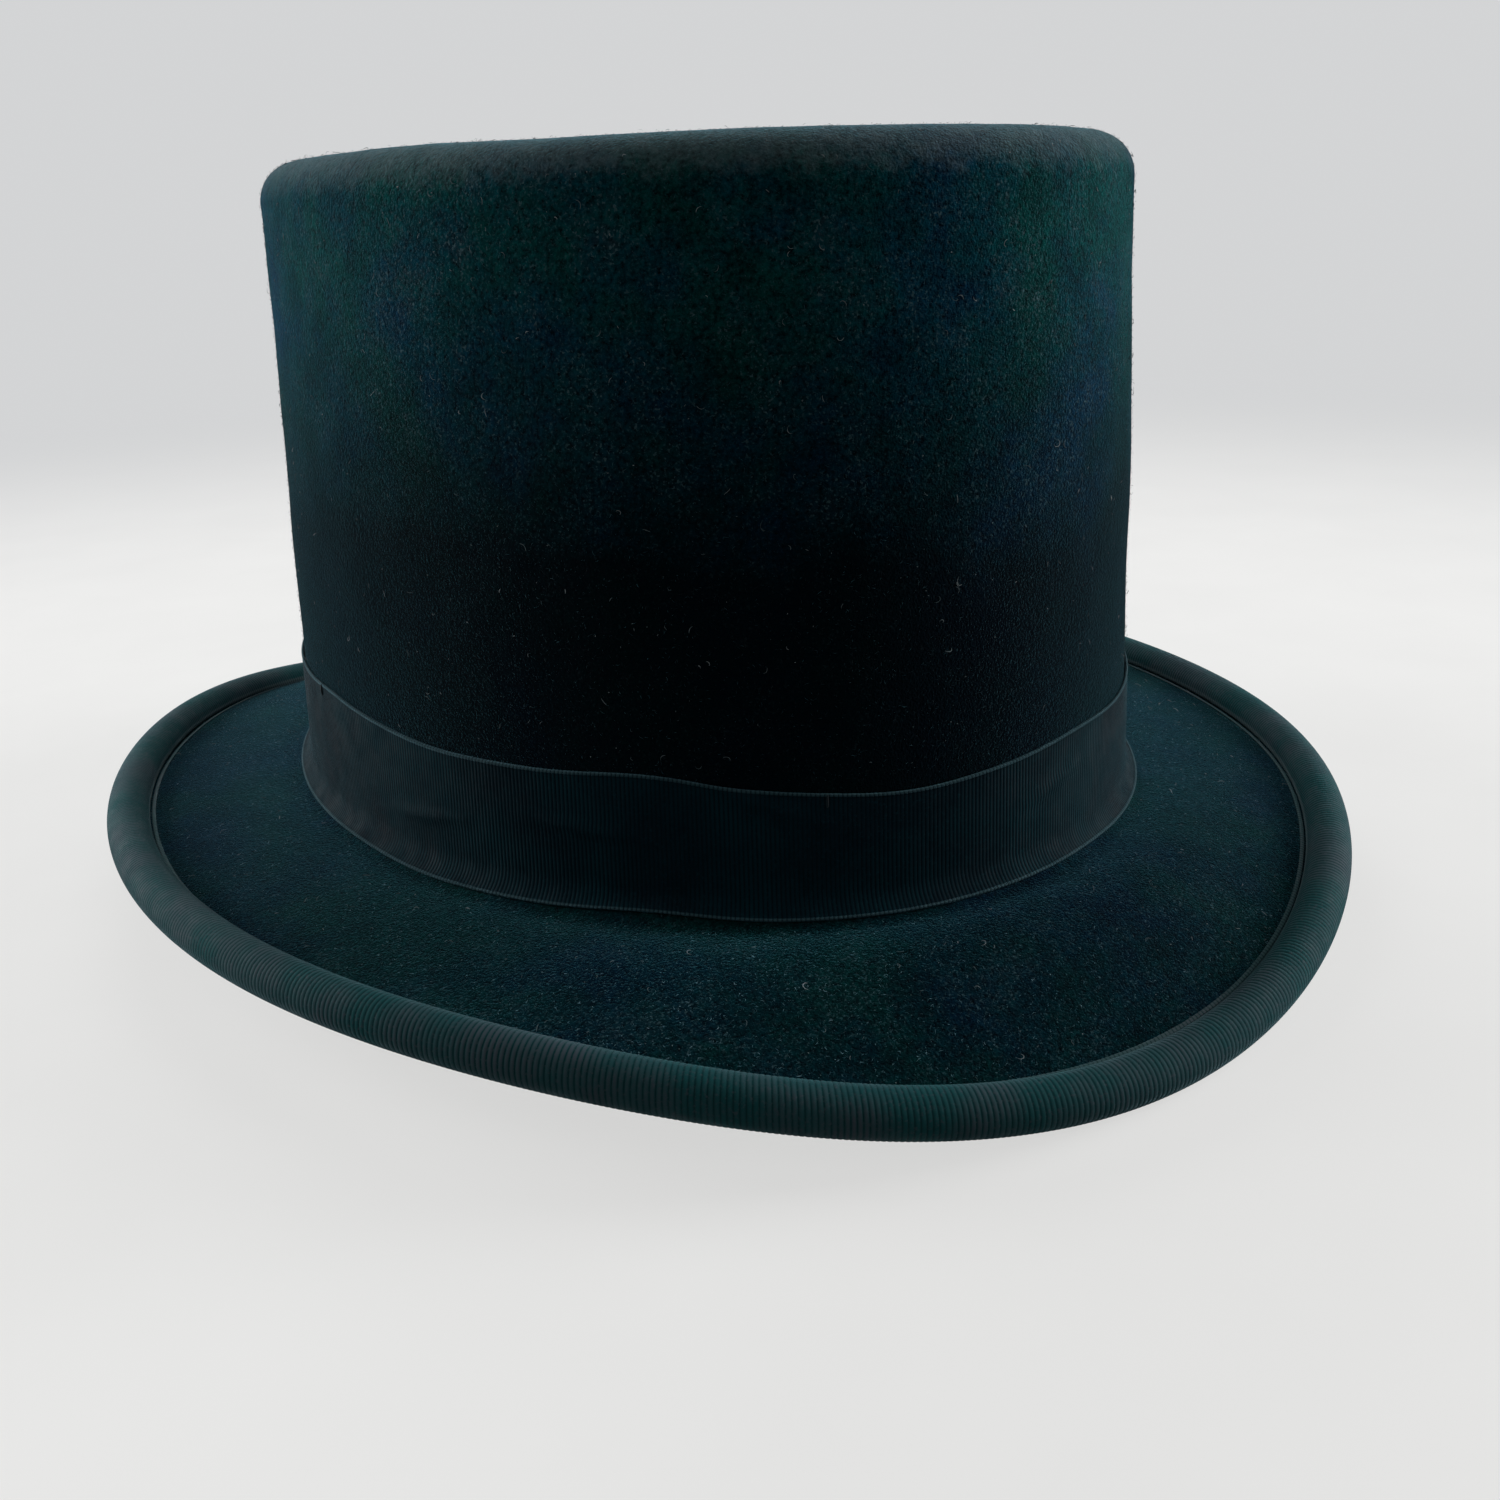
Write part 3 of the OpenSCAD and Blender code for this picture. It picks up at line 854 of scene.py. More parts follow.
@dataclass(frozen=True)
class LeatherFinish:
    """Smooth sweatband leather, darker where a head has worn it."""

    pale: Colour = (0.40, 0.22, 0.105)
    dark: Colour = (0.21, 0.100, 0.045)
    cells_per_metre: float = 1500.0
    pore_size: float = 0.8 * MM
    stain_size: float = 26 * MM
    depth: float = 0.08 * MM

    def material(self) -> bpy.types.Material:
        """Mix the leather's colours and its grain.

        Returns:
            The leather's material.
        """
        p = Painter("sweatband_leather")
        at = p.place()
        inputs = {"Vector": at, "Scale": self.cells_per_metre}
        cells = p.add("ShaderNodeTexVoronoi", inputs, feature="SMOOTH_F1").outputs["Distance"]
        stain = p.span(p.noise(at, self.stain_size, 4.0), 0.35, 0.68)
        pores = p.span(p.noise(at, self.pore_size, 3.0), 0.35, 0.7)
        colour = p.mix(stain, self.pale, self.dark)
        colour = p.mix(p.times(pores, 0.25), colour, self.dark)
        p.dress(
            Base_Color=p.mix(p.times(p.mark("tooling"), 0.6), colour, self.dark),
            Roughness=p.span(stain, 0.0, 1.0, 0.52, 0.38),
            Specular_IOR_Level=0.45,
            Coat_Weight=0.08,
            Coat_Roughness=0.35,
            Normal=p.bump(p.plus(cells, p.times(pores, 0.4)), self.depth, 0.7),
        )
        return p.material


@dataclass(frozen=True)
class SatinFinish:
    """Closely woven satin, with a soft sheen along its floats."""

    name: str
    colour: Colour
    shade: Colour
    float_length: float = 2.2 * MM
    float_depth: float = 0.03 * MM
    wear_size: float = 45 * MM

    def material(self) -> bpy.types.Material:
        """Mix the satin's colours and lay its floats.

        Returns:
            The satin's material.
        """
        p = Painter(self.name)
        floats = p.noise(p.stretch(p.map(), (1 / 0.16, 1.0, 1.0)), self.float_length, 2.0)
        wear = p.span(p.noise(p.place(), self.wear_size, 3.0), 0.40, 0.75, 0.0, 0.45)
        colour = p.mix(wear, self.colour, self.shade)
        p.dress(
            Base_Color=p.mix(p.span(floats, 0.35, 0.7, 0.0, 0.18), colour, self.shade),
            Roughness=p.span(floats, 0.3, 0.7, 0.24, 0.38),
            Specular_IOR_Level=0.5,
            Anisotropic=0.6,
            Sheen_Weight=0.15,
            Sheen_Roughness=0.3,
            Normal=p.bump(floats, self.float_depth, 0.6),
        )
        return p.material


@dataclass(frozen=True)
class ThreadFinish:
    """Twisted cotton thread or cord."""

    name: str
    colour: Colour
    dirt_and_painted_shade: Colour
    twist: float = 0.5 * MM
    sheen_weight: float = 0.05
    ply_depth: float = 0.06 * MM
    soil_size: float = 8 * MM

    def material(self) -> bpy.types.Material:
        """Mix the thread's colours and twist its plies.

        Returns:
            The thread's material.
        """
        p = Painter(self.name)
        at = p.place()
        plies = p.bands(at, 1 / (TURN * self.twist), 2.0, Across.DIAGONAL)
        soil = p.span(p.noise(at, self.soil_size, 3.0), 0.35, 0.7)
        # Painted shade in the grooves between the plies, in the dirt colour; real soil is mixed in below.
        colour = p.mix(p.times(p.span(plies, 0.0, 0.5, 1.0, 0.0), 0.6), self.colour, self.dirt_and_painted_shade)
        p.dress(
            Base_Color=p.mix(p.times(soil, 0.6), colour, self.dirt_and_painted_shade),
            Roughness=p.span(soil, 0.0, 1.0, 0.7, 0.9),
            Specular_IOR_Level=0.2,
            Sheen_Weight=self.sheen_weight,
            Normal=p.bump(plies, self.ply_depth, 0.8),
        )
        return p.material


@dataclass(frozen=True)
class TicketFinish:
    """Blank woven ticket, yellowed with age."""

    colour: Colour = (0.80, 0.76, 0.66)
    aged: Colour = (0.58, 0.49, 0.34)
    thread: float = 0.3 * MM
    thread_depth: float = 0.03 * MM
    age_size: float = 9 * MM

    def material(self) -> bpy.types.Material:
        """Mix the ticket's colours and its weave.

        Returns:
            The ticket's material.
        """
        p = Painter("blank_ticket")
        weave = p.add("ShaderNodeTexChecker", {"Vector": p.map(), "Scale": 1 / self.thread}).outputs["Fac"]
        age = p.span(p.noise(p.place(), self.age_size, 4.0), 0.35, 0.75)
        p.dress(
            Base_Color=p.mix(age, self.colour, self.aged),
            Roughness=p.span(age, 0.0, 1.0, 0.75, 0.9),
            Specular_IOR_Level=0.25,
            Normal=p.bump(weave, self.thread_depth, 0.5),
        )
        return p.material


# ---------------------------------------------------------------------------------------------
# Ribbons and stitches
# ---------------------------------------------------------------------------------------------


@dataclass(frozen=True)
class Grosgrain:
    """Weave of a ribbed ribbon, as real ribs and selvedges."""

    pitch: float = 0.76 * MM
    rib_height: float = 0.08 * MM
    samples: int = 6
    selvedge_width: float = 0.7 * MM
    selvedge_height: float = 0.12 * MM
    teeth: float = 0.10 * MM
    thickness: float = 0.45 * MM
    fullness: float = 2.6

    def crest(self, ribs: np.ndarray) -> np.ndarray:
        """Height of the weave from 0 to 1, after a count of ribs."""
        return 1 - np.abs(2 * (ribs % 1.0) - 1) ** self.fullness

    def weave(
        self, name: str, surface: Surface, length: float, width: float, rows: int, closed: bool = True
    ) -> bpy.types.Mesh:
        """Weave a ribbon over a surface.

        Args:
            name: Name of the mesh.
            surface: Gives points from shares along and across the ribbon and a height off its middle.
            length: Length of the ribbon.
            width: Width of the ribbon.
            rows: Rows of faces across its face, between the selvedges.
            closed: Whether the ribbon's end meets its start.

        Returns:
            The mesh, with marks for ribs and selvedges.
        """
        ribs = max(2, round(length / self.pitch))
        columns = ribs * self.samples + (0 if closed else 1)
        along = np.arange(columns) / (ribs * self.samples)
        rim = self.selvedge_width / width
        bead_rows = rim * np.array([0.12, 0.35, 0.6, 0.85])
        inside = rim * 1.15
        face = np.r_[0, bead_rows, np.linspace(inside, 1 - inside, rows), 1 - bead_rows[::-1], 1]
        back = np.linspace(1, 0, max(3, rows // 3))
        crest = self.crest(along * ribs)[:, None]
        near = np.minimum(face, 1 - face)[None] / rim
        edge = np.clip(1.15 - near, 0, 1) ** 0.5 * (near < 1.1)
        bead = self.selvedge_height * np.sqrt(np.clip(1 - (2 * near - 1) ** 2, 0, 1))
        high = self.thickness / 2 + self.rib_height * (crest - 0.5) * np.clip(near, 0.25, 1) + bead
        high = high - (near <= 0) * self.thickness * 0.3
        reach = self.teeth / width * (crest - 0.5) * np.clip(1 - near, 0, 1) * np.sign(face - 0.5)[None]

        def both(front: np.ndarray, behind: np.ndarray | float) -> np.ndarray:
            """Values of the rows on the ribbon's face, and then of those on its back."""
            sizes = (columns, len(face)), (columns, len(back))
            return np.concatenate([np.broadcast_to(v, size) for v, size in zip((front, behind), sizes)], 1)

        across, height = both(face[None] + reach, back[None]), both(high, -self.thickness / 2)
        points = surface(along[:, None], across, height)
        marks = {"rib": both(crest, 0.3), "edge": both(edge, 0.0)}
        return grid_mesh(name, points, closed, True, (length, 2 * width), marks)


@dataclass(frozen=True)
class Stitch:
    """One length of sewing thread, sunk at both ends."""

    length: float = 2.6 * MM
    radius: float = 0.2 * MM
    sink: float = 0.25 * MM
    sides: int = 8
    stations: int = 9

    def sew(self, name: str, start: np.ndarray, end: np.ndarray, out: np.ndarray) -> bpy.types.Mesh:
        """Sew stitches between points.

        Args:
            name: Name of the mesh.
            start: Where each stitch starts, one row each.
            end: Where each stitch ends, one row each.
            out: Direction away from the surface at each stitch.

        Returns:
            The mesh of all the stitches.
        """
        t = np.linspace(0, 1, self.stations)
        arch = self.sink * (np.sin(math.pi * t) ** 0.5 - 1)
        paths = start[:, None] * (1 - t)[:, None] + end[:, None] * t[:, None] + out[:, None] * arch[:, None]
        taper = 0.35 + 0.65 * np.sin(math.pi * t[1:-1]) ** 0.4
        points, faces = strands(paths, np.full(len(start), self.radius), self.sides, taper)
        return loose_mesh(name, points, faces)


# ---------------------------------------------------------------------------------------------
# Felt
# ---------------------------------------------------------------------------------------------


@dataclass(frozen=True)
class Fibres:
    """One kind of hair on the felt: how many, how long and thick, and how it lies.

    Stations are the points along a hair, bend its curl, and scatter how far it strays from the
    brushed direction. Hairs grow only below the height given as below. Turn is the brushed direction,
    rise how steeply a hair stands and how much that varies, arch how far it bows back down, reach the
    height above the felt that it doesn't pass, and clear the gap under its root.
    """

    finish: FibreFinish
    count: int
    length: Range
    radius: Range
    stations: int = 3
    bend: float = 0.25
    scatter: float = 1.4
    below: float = 1.0
    turn: float = 0.5
    rise: Range = (0.16, 0.22)
    arch: float = 2.2
    reach: float = 0.5 * MM
    clear: float = 0.02 * MM

    def grow(
        self, rng: np.random.Generator, root: np.ndarray, normal: np.ndarray, side: np.ndarray
    ) -> bpy.types.Mesh:
        """Grow the hairs from their roots.

        Args:
            rng: Source of random numbers.
            root: Where each hair grows, one row each.
            normal: Direction away from the felt at each root.
            side: Direction along the felt at each root, level and to one side.

        Returns:
            The mesh of all the hairs, with a mark for the shade of each.
        """
        count, bend = self.count, self.bend
        turn = rng.normal(self.turn, self.scatter, (count, 1))
        lie = side * np.cos(turn) + np.cross(normal, side) * np.sin(turn)
        lift = np.abs(rng.normal(*self.rise, (count, 1)))
        short, long = self.length
        length = short + (long - short) * rng.random((count, 1)) ** 3
        curl = rng.normal(0, bend, (count, 1))
        t = np.linspace(0, 1, self.stations)[None, :, None]
        sway = curl[:, None] * t + rng.normal(0, 1, (count, 1, 1)) * bend * t**2
        way = lie[:, None] * np.cos(sway) + np.cross(normal, lie)[:, None] * np.sin(sway)
        high = np.minimum((lift * length)[:, None] * np.sin(t * self.arch), self.reach) + self.clear
        path = root[:, None] + way * (t * length[:, None]) + normal[:, None] * high
        size = rng.uniform(*self.radius, count)
        taper = np.sin(math.pi * t[0, 1:-1, 0]) ** 0.5
        points, faces = strands(path, size, 3, taper)
        shade = np.repeat(rng.random(count) ** 2, (self.stations - 2) * 3 + 2)
        return loose_mesh(self.finish.name + "_hairs", points, faces, {"shade": shade})


@dataclass
class FeltBody:
    """The blocked felt, its nap and the lint on it."""

    columns: int = 720
    tip_rows: int = 26
    shoulder_rows: int = 16
    wall_rows: int = 84
    cove_rows: int = 12
    brim_rows: int = 40
    curl_rows: int = 32
    tip_middle: float = 0.012
    finish: FeltFinish = FeltFinish()
    fibres: tuple[Fibres, ...] = (
        Fibres(
            FibreFinish("felt_nap", (0.001, 0.010, 0.015), (0.085, 0.210, 0.260)),
            70000, (0.3 * MM, 1.1 * MM), (0.012 * MM, 0.034 * MM),
        ),
        Fibres(
            FibreFinish("felt_lint", (0.06, 0.09, 0.10), (0.38, 0.42, 0.44)),
            2600, (0.16 * MM, 1.7 * MM), (0.036 * MM, 0.080 * MM), 7, 0.9, 3.0,
        ),
        Fibres(
            FibreFinish("brim_fluff", (0.04, 0.14, 0.20), (0.40, 0.64, 0.74)),
            14000, (0.12 * MM, 0.9 * MM), (0.020 * MM, 0.046 * MM), 3, 0.6, 3.0, 30 * MM,
        ),
    )
    dents: tuple[Swell, ...] = (Swell(0.060, 0.28 * MM, 11), Swell(0.012, 0.05 * MM, 12))
    calm_height: float = 52 * MM
    calm_fade: float = 20 * MM
    wear_and_sheen_drop: float = 8.5 * MM
    wear_and_sheen_fade: float = 7.5 * MM
    band_top: float = 44 * MM

    def skin(self, angle: np.ndarray, out: float, fine: bool) -> np.ndarray:
        """One skin of the felt, from the tip's middle to the end of the curl.

        Args:
            angle: Angles of the columns, as a column of numbers.
            out: Distance outside the felt's middle.
            fine: Whether the rows are close, as on the outside.

        Returns:
            The grid of points.
        """

        def rows(start: float, end: float, count: int, last: bool = False) -> np.ndarray:
            """Steps of one part of the section, up to the next part's first."""
            steps = np.linspace(start, end, count if fine else count // 2)
            return steps[None] if last else steps[None, :-1]

        edge = FORM.shoulder(angle, out, np.full_like(angle, TURN / 4))
        share = rows(self.tip_middle, 1, self.tip_rows)[..., None]
        tip = edge * np.concatenate([share, share, np.ones_like(share)], -1)
        shoulder = FORM.shoulder(angle, out, rows(TURN / 4, 0, self.shoulder_rows))
        z = rows(FORM.shoulder_z, FORM.cove_z, self.wall_rows)
        wall = FORM.place(angle, FORM.wall_d(z) + out, z)
        cove = FORM.cove(angle, out, rows(0, TURN / 4, self.cove_rows))
        brim = FORM.brim(angle, out, rows(0, 1, self.brim_rows))
        curl = FORM.curl(angle, -out, rows(0, FORM.curl_turn, self.curl_rows, last=True))
        return np.concatenate([tip, shoulder, wall, cove, brim, curl], 1)

    def uneven(self, points: np.ndarray) -> np.ndarray:
        """Shift the felt from its true shape, except where other pieces lie on it.

        Args:
            points: Grid of points of one skin.

        Returns:
            The shifted points.
        """
        z = points[..., 2]
        r = np.hypot(points[..., 0] / FORM.side_mid, points[..., 1] / FORM.end_mid)
        free = np.clip((z - self.calm_height) / self.calm_fade, 0, 1) * (r > 0.2)
        shift = sum(dent(points) for dent in self.dents) * free
        x, y = points[..., 0] / FORM.side_mid**2, points[..., 1] / FORM.end_mid**2
        g = np.maximum(np.hypot(x, y), 1e-9)
        wall = np.clip((r - 0.84) / 0.1, 0, 1)
        moved = points.copy()
        moved[..., 0] += shift * wall * x / g
        moved[..., 1] += shift * wall * y / g
        moved[..., 2] -= np.abs(shift) * (1 - wall) * 0.8
        return moved

    def wear(self, points: np.ndarray) -> np.ndarray:
        """How worn the felt is, with the painted sheen highlight that goes with the wear: most along the
        shoulder, less down the wall and in over the tip.

        Args:
            points: Grid of points of the felt.

        Returns:
            A value from 0 to 1 for each point.
        """
        rise = np.clip((points[..., 2] - FORM.tip_z + self.wear_and_sheen_drop) / self.wear_and_sheen_fade, 0, 1)
        side, end = FORM.side_mid + FORM.shoulder_d, FORM.end_mid + FORM.shoulder_d
        r = np.hypot(points[..., 0] / side, points[..., 1] / end)
        return rise * np.clip((r - 0.94) / 0.06, 0, 1)

    def build(self) -> None:
        """Build the felt, its nap and its lint."""
        angle = FORM.even_angles(self.columns, 20 * MM)[:, None]
        outer = self.uneven(self.skin(angle, FORM.half, True))
        inner = self.uneven(self.skin(angle, -FORM.half, False))
        points = two_skins(outer, inner)
        mesh = grid_mesh("felt_shape", points, True, False, (1.0, 1.0), {"wear": self.wear(points)})
        close_middle(mesh, self.columns, points.shape[1])
        show("blocked_felt", mesh, self.finish.material(), ["felt_body"])
        self.grow_nap(outer)

    def grow_nap(self, outer: np.ndarray) -> None:
        """Grow every kind of hair where the felt is bare: not under the hatband or on the curl.

        Args:
            outer: Grid of points of the felt's outer skin.
        """
        rng = np.random.default_rng(5)
        a, b, c = outer[:, :-1], np.roll(outer, -1, 0)[:, :-1], outer[:, 1:]
        cross = np.cross(b - a, c - a)
        area = np.linalg.norm(cross, axis=-1)
        normal = (-cross / np.maximum(area[..., None], 1e-12)).reshape(-1, 3)
        under_band = self.tip_rows + self.shoulder_rows + self.wall_rows + self.cove_rows - 6
        hidden = (a[..., 2] < self.band_top) & (np.arange(area.shape[1])[None] < under_band)
        hidden[:, -(self.curl_rows - 2):] = True
        weight = np.where(hidden, 0, area)
        first, second, third = (v.reshape(-1, 3) for v in (a, b, c))
        for kind in self.fibres:
            share = np.where(a[..., 2] < kind.below, weight, 0)
            pick = rng.choice(share.size, kind.count, p=(share / share.sum()).reshape(-1))
            u, v = rng.random((2, kind.count, 1))
            base, side = first[pick], second[pick] - first[pick]
            root = base + u * side + v * (third[pick] - base)
            mesh = kind.grow(rng, root, normal[pick], side / np.linalg.norm(side, axis=1)[:, None])
            show(kind.finish.name, mesh, kind.finish.material())


# ---------------------------------------------------------------------------------------------
# Outside ribbons
# ---------------------------------------------------------------------------------------------


BAND_FINISH = GrosgrainFinish(
    "band_grosgrain",
    painted_valley_shade=(0.0002, 0.0040, 0.0072),
    crest=(0.0004, 0.0078, 0.0128),
    worn=(0.0012, 0.0220, 0.0300),
    selvedge_painted_sheen=(0.046, 0.098, 0.116),
    sheen=(0.28, 0.58, 0.72),
    sheen_weight=0.42,
    sheen_roughness=0.10,
)
BINDING_FINISH = GrosgrainFinish(
    "binding_grosgrain",
    painted_valley_shade=(0.0045, 0.0300, 0.0335),
    crest=(0.0100, 0.0660, 0.0720),
    worn=(0.0520, 0.0700, 0.0860),
    selvedge_painted_sheen=(0.120, 0.160, 0.170),
    sheen_weight=0.22,
)


@dataclass(frozen=True)
class Lift:
    """A place where the hatband rides a little high or low, in degrees and millimetres."""

    at: float
    spread: float
    top: float
    foot: float

    def height(self, angle: np.ndarray, share: np.ndarray) -> np.ndarray:
        """How much higher than its true course the ribbon lies.

        Args:
            angle: Angles round the oval.
            share: Shares of the ribbon's width.

        Returns:
            The distances.
        """
        gap = (angle - math.radians(self.at) + math.pi) % TURN - math.pi
        rise = self.top * MM + (self.foot * MM - self.top * MM) * share
        return np.exp(-((gap / math.radians(self.spread)) ** 2)) * rise


@dataclass(frozen=True)
class Crease:
    """A slanting line where the hatband stands off a little, in degrees and millimetres."""

    at: float
    share: float
    spread: float
    width: float
    slant: float
    rise: float

    def height(self, angle: np.ndarray, share: np.ndarray) -> np.ndarray:
        """How far the ribbon stands off the felt.

        Args:
            angle: Angles round the oval.
            share: Shares of the ribbon's width.

        Returns:
            The distances.
        """
        gap = (angle - math.radians(self.at) + math.pi) % TURN - math.pi
        line = share - self.share - self.slant * gap
        return self.rise * MM * np.exp(-((gap / math.radians(self.spread)) ** 2) - (line / self.width) ** 2)


@dataclass
class HatBand:
    """Ribbon round the foot of the side wall, with the bow over its joint.

    Foot turn is how far round the cove the ribbon's foot reaches, and foot draw the share of the
    cove's length at the felt's middle that the ribbon takes up there.
    """

    height_sides: float = 25 * MM
    height_ends: float = 21 * MM
    foot_turn: float = math.radians(58)
    foot_draw: float = 0.765
    woven_extra: float = 1.5 * MM
    flat_width: float = 24.5 * MM
    rows: int = 34
    weave: Grosgrain = Grosgrain(selvedge_width=0.5 * MM, selvedge_height=0.08 * MM, teeth=0.16 * MM)
    finish: GrosgrainFinish = BAND_FINISH
    lifts: tuple[Lift, ...] = (
        Lift(183, 6, 0.7, 0.0),
        Lift(204, 9, -0.9, -0.5),
        Lift(231, 9.5, 1.9, 1.25),
        Lift(259, 9, -1.0, -0.2),
        Lift(286, 11, 1.3, 0.4),
        Lift(95, 15, 0.7, 0.4),
        Lift(131, 9, -0.5, -0.3),
    )
    creases: tuple[Crease, ...] = (
        Crease(224, 0.42, 6, 0.055, 0.5, 0.55),
        Crease(203, 0.55, 5, 0.050, -0.6, 0.45),
        Crease(243, 0.10, 7, 0.060, 1.1, 0.50),
        Crease(281, 0.35, 5, 0.050, -0.8, 0.40),
        Crease(120, 0.50, 6, 0.055, 0.7, 0.45),
    )
    track: np.ndarray = field(init=False, repr=False)

    @property
    def foot_z(self) -> float:
        """Height of the ribbon's foot on its outer face."""
        r = FORM.cove_mid - FORM.ribbon_mid - FORM.ribbon / 2
        return FORM.cove_z - r * math.sin(self.foot_turn)

    def top_z(self, angle: np.ndarray) -> np.ndarray:
        """Height of the ribbon's top edge on its true course."""
        return self.foot_z + self.height_sides + (self.height_ends - self.height_sides) * np.sin(angle) ** 2

    def shift(self, angle: np.ndarray, share: np.ndarray) -> np.ndarray:
        """How much higher than its true course the ribbon lies.

        Args:
            angle: Angles round the oval.
            share: Shares of the ribbon's width.

        Returns:
            The distances.
        """
        return sum(lift.height(angle, share) for lift in self.lifts)

    def surface(self, along: np.ndarray, share: np.ndarray, height: np.ndarray) -> np.ndarray:
        """Course of the ribbon over the foot of the wall and into the cove.

        Args:
            along: Shares of the way round.
            share: Shares of the width, from the top edge to the foot.
            height: Heights off the ribbon's middle.

        Returns:
            The points.
        """
        angle = np.interp(along, TRACK_SHARES, self.track)
        top = self.top_z(angle)
        out = FORM.ribbon_mid + height + sum(crease.height(angle, share) for crease in self.creases)
        r = FORM.cove_mid - out
        straight, bend = top - FORM.cove_z, FORM.cove_mid * self.foot_draw
        run = share * (straight + bend * self.foot_turn) - self.shift(angle, share)
        turn = np.clip((run - straight) / bend, 0, TURN / 4)
        z = np.where(run < straight, top - run, FORM.cove_z - r * np.sin(turn))
        d = np.where(run < straight, FORM.wall_d(top - run) + out, FORM.cove_mid - r * np.cos(turn))
        return FORM.place(angle, d, z)

    def build(self) -> None:
        """Build the ribbon."""
        self.track = FORM.even_angles(TRACK_STEPS + 1, FORM.ribbon_mid, closed=False)
        length, width = FORM.girth(FORM.ribbon_mid), self.height_sides + self.woven_extra
        mesh = self.weave.weave("hatband_shape", self.surface, length, width, self.rows)
        piece = show("hatband_ribbon", mesh, self.finish.material(), ["hatband"])


@dataclass
class BrimBinding:
    """Ribbon folded round the curled edge of the brim, and its stitches.

    The ribbon's woven edge, pale with painted sheen, lies on the brim where it comes out from under the curl.
    """

    under: float = 5 * MM
    end_gap: float = 0.46 * MM
    rows: int = 52
    weave: Grosgrain = Grosgrain(pitch=0.88 * MM, rib_height=0.075 * MM, selvedge_width=1.0 * MM)
    finish: GrosgrainFinish = BINDING_FINISH
    edge_width: float = 0.8 * MM
    edge_lift: float = 0.20 * MM
    edge_height: float = 0.13 * MM
    edge_samples: int = 6
    edge_sides: int = 10
    stitch: Stitch = Stitch()
    stitch_count: int = 120
    stitch_inset: float = 0.8 * MM
    stitch_lift: float = 0.18 * MM
    thread: ThreadFinish = ThreadFinish("dark_thread", (0.018, 0.026, 0.030), (0.006, 0.008, 0.009))
    track: np.ndarray = field(init=False, repr=False)

    @property
    def turn(self) -> float:
        """How far round the curl the ribbon reaches."""
        return 0.75 * TURN + math.asin((FORM.curl_mid - FORM.half - self.end_gap) / FORM.curl_radius)

    def surface(self, along: np.ndarray, share: np.ndarray, height: np.ndarray) -> np.ndarray:
        """Course of the ribbon from under the brim round the curl.

        Args:
            along: Shares of the way round.
            share: Shares of the width, from the edge under the brim to the end in the curl.
            height: Heights off the ribbon's middle.

        Returns:
            The points.
        """
        angle = np.interp(along, TRACK_SHARES, self.track)
        out = FORM.ribbon_mid + height
        r = FORM.curl_mid + FORM.ribbon_mid
        run = share * (self.under + r * self.turn) - self.under
        low = FORM.brim(angle, -out, 1 + np.minimum(run, 0) / FORM.brim_run(angle))
        curl = FORM.curl(angle, out, np.maximum(run, 0) / r)
        return np.where((run < 0)[..., None], low, curl)

    def build(self) -> None:
        """Build the ribbon and its stitches."""
        middle = FORM.brim_sides - FORM.curl_radius
        self.track = FORM.even_angles(TRACK_STEPS + 1, middle, closed=False)
        length = FORM.girth(middle)
        width = self.under + (FORM.curl_mid + FORM.ribbon_mid) * self.turn
        mesh = self.weave.weave("binding_shape", self.surface, length, width, self.rows)
        material = self.finish.material()
        piece = show("binding_ribbon", mesh, material, ["brim_binding"])
        edging = self.lay_edge(material, length)
        self.sew()

    def lay_edge(self, material: bpy.types.Material, length: float) -> bpy.types.Object:
        """Lay the ribbon's woven edge on the brim, pale with painted sheen.

        Args:
            material: The ribbon's finish.
            length: Length of the ribbon.

        Returns:
            The piece.
        """
        ribs = round(length / self.weave.pitch)
        columns = self.edge_samples * ribs
        along = (np.arange(columns) / columns)[:, None]
        angle = np.interp(along, TRACK_SHARES, self.track)
        crest = self.weave.crest(along * ribs)
        t = np.arange(self.edge_sides)[None] * TURN / self.edge_sides
        half = self.edge_width / 2 * (1 + 0.16 * (crest - 0.5))
        shown = (0.16 + 0.12 * np.sin(3 * angle + 1.0) + 0.07 * np.sin(11 * angle)) * MM
        reach = FORM.curl_radius + FORM.ribbon + shown + half * np.cos(t)
        up = FORM.half + self.edge_lift + self.edge_height * np.sin(t)
        points = FORM.brim(angle, up, 1 - reach / FORM.brim_run(angle))
        size = points.shape[:2]
        # The edge takes part of the selvedge's painted sheen.
        marks = {"rib": np.broadcast_to(crest, size), "edge": np.full(size, 0.3)}
        mesh = grid_mesh("binding_edge_shape", points, True, True, (length, 2 * self.edge_width), marks)
        return show("binding_edge", mesh, material)

    def sew(self) -> None:
        """Sew the ribbon to the underside of the brim."""
        angle = np.arange(self.stitch_count) * TURN / self.stitch_count
        lengthwise = FORM.brim(angle, 0.0, 1.0)
        step = self.stitch.length / 2 / np.linalg.norm(np.gradient(lengthwise, axis=0), axis=1) * angle[1]
        out = FORM.ribbon_mid + FORM.ribbon / 2 + self.stitch_lift
        inset = self.under - self.stitch_inset
        start, end = (FORM.brim(a, -out, 1 - inset / FORM.brim_run(a)) for a in (angle - step, angle + step))
        away = unit(FORM.brim(angle, -out - MM, 1 - inset / FORM.brim_run(angle)) - (start + end) / 2)
        mesh = self.stitch.sew("binding_sewing", start, end, away)
        show("binding_seam", mesh, self.thread.material(), ["binding_stitches"])


